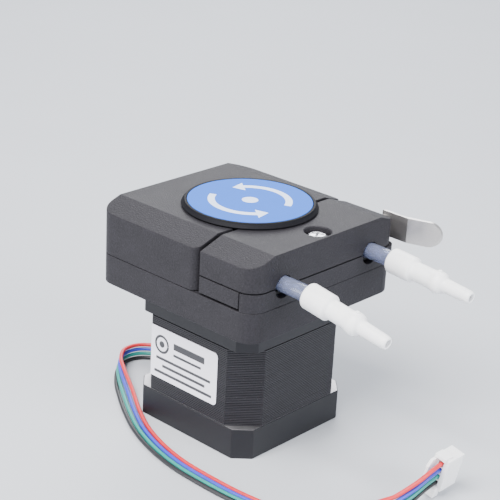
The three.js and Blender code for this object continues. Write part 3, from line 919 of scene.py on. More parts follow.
    def release(
        self,
        name: str,
        body: Body,
        slot: Slot,
        finishes: Finishes,
        replaces: Sequence[str] = (),
        finish: Extra | None = None,
        sharp: float = 33,
    ) -> bpy.types.Object:
        """Hands the solid over as a finished piece, in metres.

        Args:
            name: The piece's name.
            body: The CAD body that it rides on.
            slot: The record's slot that it takes its finish from.
            finishes: The made finishes.
            replaces: The CAD nodes that it stands for.
            finish: The finish, where it isn't the slot's own.
            sharp: The angle in degrees over which an edge stays sharp.

        Returns:
            The piece.
        """
        if self.open_edges():
            LOG.warning("%s has %d open edges", name, self.open_edges())
        self.obj.data.transform(Matrix.Scale(MM, 4))
        self.obj.data.shade_smooth()
        self.obj.data.set_sharp_from_angle(angle=math.radians(sharp))
        normals = self.obj.modifiers.new("normals", "WEIGHTED_NORMAL")
        normals.keep_sharp = True
        self.bake()
        self.obj.name = name
        self.obj.data.name = name
        self.obj.data.materials.clear()
        self.obj.data.materials.append(finishes[finish or slot])
        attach(self.obj, body.value)
        if replaces:
            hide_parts(*replaces)
        LOG.info("%s: %d faces, rides on %s", name, len(self.obj.data.polygons), body.value)
        return self.obj


def repaint_faces(piece: bpy.types.Object, material: bpy.types.Material, chosen: Callable) -> None:
    """Gives some faces of a piece a second finish.

    Args:
        piece: The piece.
        material: The second finish.
        chosen: Takes a face and says whether it gets that finish.
    """
    piece.data.materials.append(material)
    for face in piece.data.polygons:
        if chosen(face):
            face.material_index = 1


# ---------------------------------------------------------------- camera, light and floor


class Studio:
    """The camera at the viewing angle, a pale floor and soft light."""

    LENS = 105.24
    SENSOR = 36.0
    EYE = Vector((244.921, -268.747, 196.657))
    RIGHT = Vector((0.72591794, 0.68603782, 0.04894121))
    UP = Vector((-0.29221027, 0.24321463, 0.9249107))
    FORWARD = Vector((-0.62262051, 0.6857104, -0.37702116))
    FLOOR_REACH = 3.0
    TARGET = Vector((0, 0, 0.035))

    def place_camera(self) -> None:
        """Makes the camera the scene's own."""
        camera = bpy.data.cameras.new("camera")
        camera.lens = self.LENS
        camera.sensor_width = self.SENSOR
        camera.clip_start = 0.01
        holder = bpy.data.objects.new("camera", camera)
        turn = Matrix((self.RIGHT, self.UP, -self.FORWARD)).transposed()
        holder.matrix_world = Matrix.Translation(self.EYE * MM) @ turn.to_4x4()
        bpy.context.scene.collection.objects.link(holder)
        bpy.context.scene.camera = holder

    def lay_floor(self) -> None:
        """Lays a pale floor that the pump stands on."""
        bench = Bench("floor")
        cloud = bench.noise(60, detail=3)
        fine = bench.noise(0.8, detail=2)
        material = bench.surface({
            "Base Color": bench.shaded((0.5, 0.52, 0.56), (cloud - 0.5) * 0.6, 0.04),
            "Roughness": (fine - 0.5) * 0.1 + 0.65,
            "Normal": bench.relief(fine, 0.01, 0.3),
        })
        mesh = bpy.data.meshes.new("floor")
        corners = [(x, y, 0) for x, y in four_corners(self.FLOOR_REACH)]
        mesh.from_pydata(corners, [], [(0, 1, 2, 3)])
        mesh.materials.append(material)
        floor = bpy.data.objects.new("floor", mesh)
        bpy.context.scene.collection.objects.link(floor)

    def light(self) -> None:
        """Hangs the soft lights and the sky."""
        self._panel("key", (0.05, -0.45, 0.75), 0.5, 19.0, (1.0, 0.985, 0.965))
        self._panel("side", (0.75, 0.05, 0.3), 0.45, 7.0, (0.96, 0.98, 1.0))
        self._panel("front", (-0.3, -0.75, 0.25), 0.45, 4.5, (1.0, 0.99, 0.98))
        self._panel("back", (-0.45, 0.5, 0.5), 0.5, 6.0, (0.97, 0.98, 1.0))
        world = bpy.data.worlds.new("sky")
        world.use_nodes = True
        backdrop = world.node_tree.nodes["Background"]
        backdrop.inputs["Color"].default_value = (0.86, 0.9, 0.97, 1)
        backdrop.inputs["Strength"].default_value = 0.85
        bpy.context.scene.world = world

    def _panel(self, name: str, place: Point, size: float, power: float, colour: Colour) -> None:
        """Hangs one square panel that faces the pump.

        Args:
            name: The lamp's name.
            place: Where it hangs, in metres.
            size: The length of its sides, in metres.
            power: Its power in watts.
            colour: The colour of its light.
        """
        lamp = bpy.data.lights.new(name, "AREA")
        lamp.size = size
        lamp.energy = power
        lamp.color = colour
        holder = bpy.data.objects.new(name, lamp)
        holder.location = place
        holder.rotation_euler = (self.TARGET - Vector(place)).to_track_quat("-Z", "Y").to_euler()
        bpy.context.scene.collection.objects.link(holder)


# ---------------------------------------------------------------- lead and plug


@dataclass
class Lead:
    """The four wires from the motor to the plug, and the plug itself.

    Each point of the route is the middle of the row of wires, with how far the row stands up there:
    nought is flat on the floor, and one is upright.
    """

    finishes: Finishes
    radius: float = 0.575
    plug_pitch: float = 2.0
    plug_x: float = 65.5
    plug_z: float = 7.2
    lean: float = 12.0
    above_floor: float = 0.04
    spread_from: float = 0.9
    spread_over: float = 0.085
    fine_steps: int = 2200
    wall: float = 0.8
    plug_half: float = 2.1
    plug_depth: tuple[float, float] = (4.0, 10.6)
    plug_height: tuple[float, float] = (2.4, 12.0)
    leg_end: float = 0.25
    cavity: float = 0.75
    pin: float = 0.45
    pin_span: tuple[float, float] = (5.4, 10.0)
    pin_bore: float = 0.25
    bore_span: tuple[float, float] = (7.0, 11.0)
    route: tuple[tuple[float, float, float, float], ...] = (
        (-22.7, *LEAD_EXIT, 1),
        (-27, 5.3, 5.1, 1),
        (-32.5, 5.1, 3.9, 1),
        (-38, 3.6, 2.9, 1),
        (-41.8, 0.2, 2.6, 0.85),
        (-42.6, -4.6, 2.1, 0.55),
        (-39.6, -9.6, 1.4, 0.25),
        (-34, -14.2, 0.8, 0.05),
        (-26.5, -18.9, 0.62, 0),
        (-18, -24.1, 0.62, 0),
        (-9.5, -28.6, 0.62, 0),
        (0, -32, 0.62, 0),
        (10.5, -34.1, 0.62, 0),
        (22, -34.6, 0.62, 0),
        (33, -34.2, 0.62, 0),
        (43.5, -32.4, 0.62, 0),
        (52.5, -28, 0.62, 0),
        (59, -20.8, 0.9, 0.1),
        (62.6, -12.6, 2, 0.4),
        (64.7, -5, 4.6, 0.8),
        (65.5, 0, 6.6, 1.1),
        (65.5, 5, 7.2, 1.13),
    )

    def _knot(self, points: Sequence[Vector], share: float) -> tuple[Vector, Vector]:
        """The place and direction of a smooth line through points, at a share of its stretches.

        Args:
            points: The points that the line goes through.
            share: From nought at the first point to one at the last.

        Returns:
            The place, and the direction with the length of the line's speed there.
        """
        spot = share * (len(points) - 1)
        index = min(int(spot), len(points) - 2)
        rest = spot - index
        p1, p2 = points[index], points[index + 1]
        p0 = points[index - 1] if index else p1 * 2 - p2
        p3 = points[index + 2] if index + 2 < len(points) else p2 * 2 - p1
        d0, d1, d2 = (max((b - a).length ** 0.5, 1e-4) for a, b in ((p0, p1), (p1, p2), (p2, p3)))
        m1 = ((p1 - p0) / d0 - (p2 - p0) / (d0 + d1) + (p2 - p1) / d1) * d1
        m2 = ((p2 - p1) / d1 - (p3 - p1) / (d1 + d2) + (p3 - p2) / d2) * d1
        a = p1 * 2 - p2 * 2 + m1 + m2
        b = p2 * 3 - p1 * 3 - m1 * 2 - m2
        place = a * rest**3 + b * rest**2 + m1 * rest + p1
        return place, a * (3 * rest**2) + b * (2 * rest) + m1

    def wire_line(self, row: float, steps: int = 168) -> list[Vector]:
        """The middle line of one wire, at equal shares of the route's length.

        Args:
            row: The wire's place in the row.
            steps: The number of stretches.

        Returns:
            Its points in millimetres.
        """
        centres = [Vector(point[:3]) for point in self.route]
        twists = [Vector((index, point[3], 0)) for index, point in enumerate(self.route)]
        fine = [index / self.fine_steps for index in range(self.fine_steps + 1)]
        places = [self._knot(centres, share)[0] for share in fine]
        run = [0.0]
        for before, after in zip(places, places[1:]):
            run.append(run[-1] + (after - before).length)
        line: list[Vector] = []
        index = 0
        for step in range(steps + 1):
            share = step / steps
            while index < self.fine_steps - 1 and run[index + 1] < share * run[-1]:
                index += 1
            centre, along = self._knot(centres, fine[index + (1 if step == steps else 0)])
            left = Vector((-along.y, along.x, 0)).normalized()
            twist = self._knot(twists, share)[0].y
            upright = min(max(twist, 0), self.route[-1][3]) * math.pi / 2
            near = min(max((share - self.spread_from) / self.spread_over, 0), 1)
            pitch = WIRE_PITCH + (self.plug_pitch - WIRE_PITCH) * near * near * (3 - 2 * near)
            offset = row * pitch
            lowest = self.radius + self.above_floor + WIRE_ROWS["red"] * pitch * math.sin(upright)
            centre = centre + left * (offset * math.cos(upright))
            centre.z = max(centre.z, lowest) + offset * math.sin(upright)
            line.append(centre)
        return line

    def build(self) -> None:
        """Makes the plug and its pins, then the four wires."""
        housing = self.build_plug()
        for colour, row in WIRE_ROWS.items():
            pin = self.build_pin(colour, row)
            line = self.wire_line(row)
            curve = bpy.data.curves.new(f"lead_{colour}", "CURVE")
            curve.dimensions = "3D"
            curve.bevel_depth = self.radius * MM
            curve.bevel_resolution = 6
            curve.use_fill_caps = True
            spline = curve.splines.new("POLY")
            spline.points.add(len(line) - 1)
            for knot, point in zip(spline.points, line):
                knot.co = (*(point * MM), 1)
            spline.use_smooth = True
            wire = bpy.data.objects.new(f"lead_{colour}", curve)
            bpy.context.scene.collection.objects.link(wire)
            slot = Slot(f"wire_{colour}")
            curve.materials.append(self.finishes[slot])
            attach(wire, Body.PUMP.value)
            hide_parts(f"lead_wire_{colour}")
            length = sum((b - a).length for a, b in zip(line, line[1:])) * MM
            tuple(line[0] * MM)
            LOG.info("lead_%s: %.1f mm long", colour, length / MM)

    def _leaned(self) -> Matrix:
        """Tips the plug over a little, about the middle of its row of wires.

        Returns:
            The turn that does so.
        """
        middle = Vector((self.plug_x, 0, self.plug_z))
        tip_over = Matrix.Rotation(math.radians(self.lean), 4, "Y")
        return Matrix.Translation(middle) @ tip_over @ Matrix.Translation(-middle)

    def _square(self, half: float, y0: float, y1: float, z: float) -> Blank:
        """A square bar along Y in the plug, at a height."""
        x = self.plug_x
        return Blank.block((x - half, y0, z - half), (x + half, y1, z + half))

    def build_pin(self, colour: str, row: float) -> bpy.types.Object:
        """Makes the metal pin that ends one wire.

        Args:
            colour: The wire's colour.
            row: The wire's place in the row.

        Returns:
            The released piece.
        """
        z = self.plug_z + row * self.plug_pitch
        pin = self._square(self.pin, *self.pin_span, z).soften(0.1, 2)
        pin.cut(self._square(self.pin_bore, *self.bore_span, z)).moved(self._leaned())
        return pin.release(f"pin_{colour}", Body.PUMP, Slot.SCREW, self.finishes, [f"terminal_{colour}"])

    def build_plug(self) -> bpy.types.Object:
        """Makes the plug's housing.

        Returns:
            The released piece.
        """
        (y0, y1), (z0, z1) = self.plug_depth, self.plug_height
        left, right = self.plug_x - self.plug_half, self.plug_x + self.plug_half
        wall_outline = rounded([
            (y0 - 3.4, z0 + 0.3, 0.3),
            (y0 + 1.2, z0 + 0.3),
            (y0 + 1.2, z1 - 0.6),
            (y0 - 2.2, z1 - 0.6, 0.5),
            (y0 - 3.4, z1 - 2.4, 0.4),
        ])
        body = Blank.block((left, y0, z0), (right, y1, z1))
        wall = Blank.raised(wall_outline, 0, self.wall).moved(along_x(left))
        leg = Blank.block((left, y0 - 1.2, self.leg_end), (right - self.wall, y0 + 1, z0 + 0.5))
        lip = Blank.block((left, y0 - 0.6, z1 - 0.5), (right - self.wall, y0 + 2.4, z1 + 0.5))
        cavities = []
        for row in WIRE_ROWS.values():
            z = self.plug_z + row * self.plug_pitch
            cavities.append(self._square(self.cavity, y0 - 1, y1 + 1, z))
        body.join(wall, leg, lip).cut(*cavities).soften(0.1, 2).moved(self._leaned())
        return body.release("plug_housing", Body.PUMP, Slot.FITTING, self.finishes, ["lead_plug"])


# ---------------------------------------------------------------- motor


@dataclass
class Motor:
    """The square stepper motor: two caps, a stack of sheets, a label and four screws."""

    finishes: Finishes
    half: float = 21.15
    corner: float = 4.1
    stack_corner: float = 7.0
    rear_top: float = 8.7
    stack_top: float = 31.0
    top: float = 38.7
    stack_half: float = 21.1
    groove_half: float = 20.94
    sheet: float = 0.5
    pilot: float = 11.0
    bearing: float = 7.15
    shaft_hole: float = 3.2
    winding: tuple[float, float] = (9.0, 17.5)
    screw_sink: float = 3.1
    slot_half: float = 0.28
    poles: int = 8

    def _winding_room(self, z0: float, z1: float) -> Blank:
        """The ring-shaped hollow that a winding end lies in."""
        inner, outer = self.winding
        return Blank.turned([(inner, z0), (outer, z0), (outer, z1), (inner, z1)])

    @staticmethod
    def _bolt_holes(radius: float, z0: float, z1: float) -> list[Blank]:
        """Round cutters at the four long screws."""
        return [Blank.post(radius, z0, z1, x, y) for x, y in four_corners(BOLT_REACH)]

    def _plan(self, half: float, corner: float, radius: float) -> list[Vector]:
        """A square with its corners cut off, whose eight angles are rounded.

        Args:
            half: Half of the square's width.
            corner: How much each corner is cut back along both sides.
            radius: The rounding of the eight angles.

        Returns:
            The outline.
        """
        inner = half - corner
        points = [
            (inner, -half), (half, -inner), (half, inner), (inner, half),
            (-inner, half), (-half, inner), (-half, -inner), (-inner, -half),
        ]
        return rounded([(x, y, radius) for x, y in points])

    def build_rear_cap(self) -> None:
        """Makes the rear cap with its bearing seat, screw holes and the notch of the lead."""
        cap = Blank.raised(self._plan(self.half, self.corner, 0.5), 0, self.rear_top).soften(0.3, 3)
        cap.cut(
            self._winding_room(2.5, 10),
            Blank.post(self.bearing, 1.5, 10),
            Blank.block((-22, 2.9, 2), (-17, 7.5, 9)),
            *self._bolt_holes(BOLT_HOLE, -1, 10),
            *self._bolt_holes(self.screw_sink, -1, 3.4),
        )
        piece = cap.release("rear_cap", Body.PUMP, Slot.ANODISED, self.finishes, ["motor_rear_cap"])
        shelf = (self.rear_top - 0.1) * MM
        bright = self.finishes[Extra.BARE]
        repaint_faces(piece, bright, lambda face: face.normal.z > 0.9 and face.center.z > shelf)

    def build_front_cap(self) -> None:
        """Makes the front cap with its pilot and bearing seat."""
        cap = Blank.raised(self._plan(self.half, self.corner, 0.5), self.stack_top, self.top).soften(0.3, 3)
        cap.join(Blank.post(self.pilot, self.top - 1, self.top + 2)).cut(
            self._winding_room(30, 36),
            Blank.post(self.bearing, 30, 36.4),
            Blank.post(self.shaft_hole, 30, 42),
            *self._bolt_holes(BOLT_HOLE, 30, 40),
        )
        cap.release("front_cap", Body.PUMP, Slot.ANODISED, self.finishes, ["motor_front_cap"])

    def _pole_outline(self, inner: float, outer: float) -> list[Vector]:
        """The hollow of the stack: round at the pole shoes, and deep between them.

        Args:
            inner: The radius at the pole shoes.
            outer: The radius at the bottom of the slots.

        Returns:
            The outline.
        """
        step, half = math.tau / self.poles, self.slot_half
        shoe = ((inner, -half), (inner, 0), (inner, half), (outer, half), (outer, step - half))
        outline: list[Vector] = []
        for pole in range(self.poles):
            for radius, angle in shoe:
                way = pole * step + angle
                outline.append(Vector((radius * math.cos(way), radius * math.sin(way))))
        return outline

    def build_stack(self) -> None:
        """Makes the stack: each sheet stands out or back a little, and thin gaps part them."""
        seeded = random.Random(11)
        low, high = self.rear_top + 0.1, self.stack_top - 0.1
        count = round((high - low) / self.sheet)
        rings: list[list[Point]] = []
        for index in range(count):
            z0 = low + (high - low) * index / count
            z1 = low + (high - low) * (index + 1) / count
            shrink = seeded.choice([0.0, 0.0, 0.01, 0.025])
            plan = self._plan(self.stack_half - shrink, self.stack_corner, 0.35)
            groove = self._plan(self.groove_half, self.stack_corner, 0.35)
            rings.append([(p.x, p.y, z0 + 0.03) for p in plan])
            rings.append([(p.x, p.y, z1 - 0.11) for p in plan])
            if index < count - 1:
                rings.append([(p.x, p.y, z1 - 0.08) for p in groove])
                rings.append([(p.x, p.y, z1) for p in groove])
        stack = Blank.lofted(rings)
        stack.cut(
            Blank.raised(self._pole_outline(11.35, 17.4), low - 1, high + 1),
            *self._bolt_holes(BOLT_HOLE, low - 1, high + 1),
        )
        stack.release("stack", Body.PUMP, Slot.LAMINATIONS, self.finishes, ["motor_stator_stack"])

    def build_label(self) -> None:
        """Makes the label, with a plain ring and plain bars printed on it."""
        face = -self.half
        sticker = Blank.raised(rectangle(-14.1, 10.9, 13.2, 28.4, (0.2, 1.2, 1.2, 0.2)), 0, 0.15)
        sticker.moved(towards_front(face)).soften(0.03, 1)
        piece = sticker.release("label", Body.PUMP, Slot.LABEL, self.finishes, ["motor_label"])
        badge = (-9.9, 23.6)
        marks = [("label_ring", self._ring(*badge, 2.7, 2.0)), ("label_dot", circle(0.95, *badge))]
        bars = [
            (-5.4, 23.6, 11.6, 1.9), (-5.4, 21.6, 10.4, 0.7), (-12.0, 18.9, 20.6, 0.8),
            (-9.6, 16.9, 16.2, 0.8), (-12.6, 14.8, 21.8, 0.8),
        ]
        marks += [
            (f"label_bar_{index + 1}", rectangle(x, x + width, z, z + height, (0.15,) * 4))
            for index, (x, z, width, height) in enumerate(bars)
        ]
        for name, outline in marks:
            mark = Blank.raised(outline, 0.12, 0.17).moved(towards_front(face))
            mark.release(name, Body.PUMP, Slot.LABEL, self.finishes, finish=Extra.DARK_INK)
        LOG.info("%s carries %d marks", piece.name, len(marks))

    @staticmethod
    def _ring(x: float, z: float, outer: float, inner: float) -> list[Vector]:
        """A ring that is open by a hair, so that it is one outline.

        Args:
            x: The middle's place along X.
            z: The middle's height.
            outer: The outer radius.
            inner: The inner radius.

        Returns:
            The outline.
        """
        spread = [Vector((x + outer * p.x, z + outer * p.y)) for p in arc_points(1, 1, 359, 60)]
        back = [Vector((x + inner * p.x, z + inner * p.y)) for p in arc_points(1, 359, 1, 60)]
        return spread + back

    def build_screws(self) -> None:
        """Makes the four long screws with a cross in each head."""
        cross = cross_outline(1.5, 0.3)
        head = [(0, 0.6), (2.3, 0.6), (2.7, 1.0), (2.7, 2.8)]
        profile = head + [(1.45, 2.8), (1.45, 33.9), (1.2, 34.2), (0, 34.2)]
        for index, (x, y) in enumerate(four_corners(BOLT_REACH)):
            place = Matrix.Translation((x, y, 0))
            screw = Blank.turned(profile, 48)
            screw.cut(Blank.raised(cross, 0, 1.4)).moved(place)
            node = f"motor_screw_{index + 1}"
            screw.release(f"long_screw_{index + 1}", Body.PUMP, Slot.SCREW, self.finishes, [node])

    def build_grommet(self) -> None:
        """Makes the black insert that the lead leaves through."""
        insert = Blank.block((-22.3, 3.3, 2.3), (-18, 7.1, 8.4)).soften(0.35, 3)
        y, z = LEAD_EXIT
        for row in WIRE_ROWS.values():
            insert.cut(Blank.rod(0.66, -23, -20.5, y, z + row * WIRE_PITCH))
        insert.release("lead_insert", Body.PUMP, Slot.BLACK, self.finishes, ["lead_grommet"])

    def build(self) -> None:
        """Makes the whole motor."""
        self.build_rear_cap()
        self.build_front_cap()
        self.build_stack()
        self.build_label()
        self.build_screws()
        self.build_grommet()


# ---------------------------------------------------------------- pump head


@dataclass
class Head:
    """The moulded head: base, sliding track housing with its two arms, front block and cover."""

    finishes: Finishes
    half: float = HEAD_HALF
    corner: float = 5.0
    bottom: float = 38.8
    seam: float = 47.0
    mid: float = 52.2
    foot: float = 58.8
    top: float = 61.35
    bevel: float = 7.6
    split: tuple[float, float] = (8.6, 9.8)
    track_radius: float = 19.5
    roof: float = 58.6
    opening: float = 17.6
    tube_hole: float = 3.1
    collar_room: float = 3.6
    screw_x: float = 23.9
    block_screw: tuple[float, float] = (24.9, 8.5)
    rib_y: float = 23.5
    rib_half: float = 1.5
    tie_y: float = 24.0
    tie_z: float = 50.5
    tie_hole: float = 1.25
    edge: float = 0.2

    def _bevelled(self, plan: Sequence[Vector], z0: float) -> Blank:
        """A plan raised to the top, whose upper edges slope down to -Y and +Y.

        Args:
            plan: The outline from above.
            z0: The height that it starts from.

        Returns:
            The solid.
        """
        half, bevel = self.half, self.bevel
        section = [
            Vector((-half - 1, z0 - 1)), Vector((half + 1, z0 - 1)), Vector((half + 1, self.foot)),
            Vector((half, self.foot)), Vector((half - bevel, self.top)), Vector((bevel - half, self.top)),
            Vector((-half, self.foot)), Vector((-half - 1, self.foot)),
        ]
        bar = Blank.raised(section, -60, 60).moved(along_x(0))
        return Blank.raised(plan, z0, self.top + 1).keep(bar)

    def _tube_room(self, x0: float) -> list[Blank]:
        """Cutters from x0 out for the two tube ends, and for the collars on them.

        Args:
            x0: Where the holes start.

        Returns:
            The four cutters.
        """
        room: list[Blank] = []
        for y in (-TUBE_Y, TUBE_Y):
            room.append(Blank.rod(self.tube_hole, x0, 30, y, self.mid))
            room.append(Blank.rod(self.collar_room, 24.6, 27, y, TUBE_Z))
        return room

    def build_base(self) -> None:
        """Makes the base plate with the two ribs that the housing slides on."""
        half, r = self.half, self.corner
        base = Blank.raised(rectangle(-half, half, -half, half, (r, r, r, r)), self.bottom, self.seam)
        base.soften(self.edge, 3)
        low, high, rib = self.seam - 1, self.seam + 1.4, self.rib_half
        ribs = [Blank.block((-24, y - rib, low), (6, y + rib, high)) for y in (-self.rib_y, self.rib_y)]
        cutters = [Blank.post(11.3, self.bottom - 1, 41), Blank.post(6.5, self.bottom - 1, self.seam + 1)]
        for x, y in four_corners(BOLT_REACH):
            cutters.append(Blank.post(BOLT_HOLE, 30, 50, x, y))
            cutters.append(Blank.post(3.2, 42.2, 50, x, y))
        screw_x, screw_y = self.block_screw
        for y in (-screw_y, screw_y):
            cutters.append(Blank.post(1.5, 35, 50, screw_x, y))
            cutters.append(Blank.post(2.5, 35, 42, screw_x, y))
        base.join(*ribs).cut(*cutters)
        base.release("base", Body.PUMP, Slot.HEAD, self.finishes, ["head_base"])

    def build_housing(self) -> None:
        """Makes the sliding half that holds the track."""
        half, r, small = self.half, self.corner, 2.6
        end = self.split[0]
        body = self._bevelled(rectangle(-half, end, -half, half, (r, small, small, r)), self.seam + 0.15)
        body.soften(self.edge, 3, 18)
        straight = [Vector((end + 1, -self.track_radius)), Vector((end + 1, self.track_radius))]
        chamber = straight + arc_points(self.track_radius, 90, 270, 60)
        cutters = [
            Blank.raised(chamber, self.seam - 1, self.roof),
            Blank.post(self.opening, self.roof - 1, self.top, flare=0.3),
            Blank.post(self.opening + 0.3, self.top - 0.001, self.top + 1),
        ]
        groove = self.rib_half + 0.3
        for side in (-1, 1):
            y = side * self.rib_y
            low, high = (-24.4, y - groove, self.seam - 1), (end + 1, y + groove, self.seam + 1.75)
            cutters.append(Blank.block(low, high))
            cutters.append(Blank.rod(self.tie_hole, 1.1, end + 1, side * self.tie_y, self.tie_z))
        body.cut(*cutters)
        body.release("housing", Body.TRACK, Slot.HEAD, self.finishes, ["track_housing"])

    @staticmethod
    def _crank_path() -> list[Vector]:
        """Where the lever's crank pin passes through the sliding arm, a little past both ends.

        Returns:
            The path's points, from closed to open.
        """
        line = []
        for share in (-0.3, 0, 0.25, 0.5, 0.75, 1, 1.23):
            angle = math.radians(LEVER_SWING * share)
            slid = TRACK_TRAVEL * share
            line.append(PIVOT + Vector((slid - CRANK * math.cos(angle), -CRANK * math.sin(angle))))
        return line

    def build_arms(self) -> None:
        """Makes the two arms that carry the housing along the block."""
        for word, side, end in (("front", -1, 23.5), ("rear", 1, 25.0)):
            y0, y1 = sorted((side * 20.9, side * self.half))
            arm = Blank.block((self.split[1], y0, 47.6), (end, y1, self.mid - 0.15)).soften(0.2, 3)
            arm.cut(Blank.rod(self.tie_hole, 9, 14.9, side * self.tie_y, self.tie_z))
            if side > 0:
                arm.cut(Blank.raised(band(self._crank_path(), 1.3), 46, 54))
            arm.release(f"arm_{word}", Body.TRACK, Slot.HEAD, self.finishes, [f"slide_arm_{word}"])

    def build_block(self) -> None:
        """Makes the fixed block between the arms, with the lower halves of the tube holes."""
        half, r = self.half, self.corner
        low, high = self.seam + 0.1, self.mid - 0.15
        front_side = [(14, -30), (23.8, -30), (23.8, -13.4), (15.6, -11.4), (14, -11.4)]
        rear_side = [(14, 11.4), (15.6, 11.4), (23.8, 13.4), (23.8, 20.6), (25.3, 20.6), (25.3, 30), (14, 30)]
        block = Blank.raised(rectangle(15.6, half, -half, half, (0, r, 2.9, 0)), low, high)
        for side in (front_side, rear_side):
            block.cut(Blank.raised([Vector(point) for point in side], low - 1, high + 1))
        block.soften(0.18, 2)
        screw_x, screw_y = self.block_screw
        block.cut(
            *self._tube_room(20),
            Blank.post(1.7, 46, 54, self.screw_x, 0),
            *(Blank.post(1.4, 46, 54, screw_x, y) for y in (-screw_y, screw_y)),
        )
        block.release("block", Body.PUMP, Slot.HEAD, self.finishes, ["front_block"])

    def build_cover(self) -> None:
        """Makes the cover over the block, with the room that the lever swings in."""
        half, r, mid, top = self.half, self.corner, self.mid, self.top
        x, y = PIVOT
        body = self._bevelled(rectangle(self.split[1], half, -half, half, (0, r, r, 0)), mid + 0.15)
        body.soften(self.edge, 3, 18)
        crank = Blank.post(6, mid - 1, 53.8, x, y)
        crank.keep(Blank.block((10, 15, 50), (x + 2.7, half - 1, 55)))
        neck = [Vector(p) for p in ((x + 1, y - 2), (x + 1, half + 2), (x - 5.4, half + 2), (x - 2, y - 2))]
        body.cut(
            Blank.post(15.2, mid - 1, top + 1),
            *self._tube_room(5),
            Blank.post(3.55, 58.6, top, self.screw_x, 0, 0.25),
            Blank.post(3.8, top - 0.001, top + 1, self.screw_x, 0),
            Blank.post(1.7, mid - 1, top + 1, self.screw_x, 0),
            crank,
            Blank.raised(neck, 53.2, 58),
            Blank.post(2.6, mid - 1, 58, x, y),
            Blank.post(1.15, mid - 1, 58.9, x, y),
        )
        for place, length in ((13.2, 0.9), (17.6, 0.5)):
            chip = Blank.block((place, -half - 0.1, mid + 0.05), (place + length, -half + 0.09, mid + 0.42))
            body.cut(chip)
        body.release("cover", Body.PUMP, Slot.HEAD, self.finishes, ["cassette_cover"])

    def build_cover_screw(self) -> None:
        """Makes the bright screw sunk in the cover."""
        profile = [
            (0, 47.8), (1.4, 47.8), (1.4, 58.9), (2.65, 58.9), (2.8, 59.05), (2.8, 59.8), (2.6, 60.2),
            (2.1, 60.5), (1.2, 60.66), (0, 60.7),
        ]
        screw = Blank.turned(profile, 64)
        cross = Blank.lofted([
            [(p.x, p.y, 59.5) for p in cross_outline(1.2, 0.2)],
            [(p.x, p.y, 61.0) for p in cross_outline(1.85, 0.36)],
        ]).moved(Matrix.Rotation(0.5, 4, "Z"))
        screw.cut(cross).moved(Matrix.Translation((self.screw_x, 0, 0)))
        screw.release("cover_fixing", Body.PUMP, Slot.SCREW, self.finishes, ["cover_screw"])

    def build(self) -> None:
        """Makes the whole head."""
        self.build_base()
        self.build_housing()
        self.build_arms()
        self.build_block()
        self.build_cover()
        self.build_cover_screw()


# ---------------------------------------------------------------- rotor


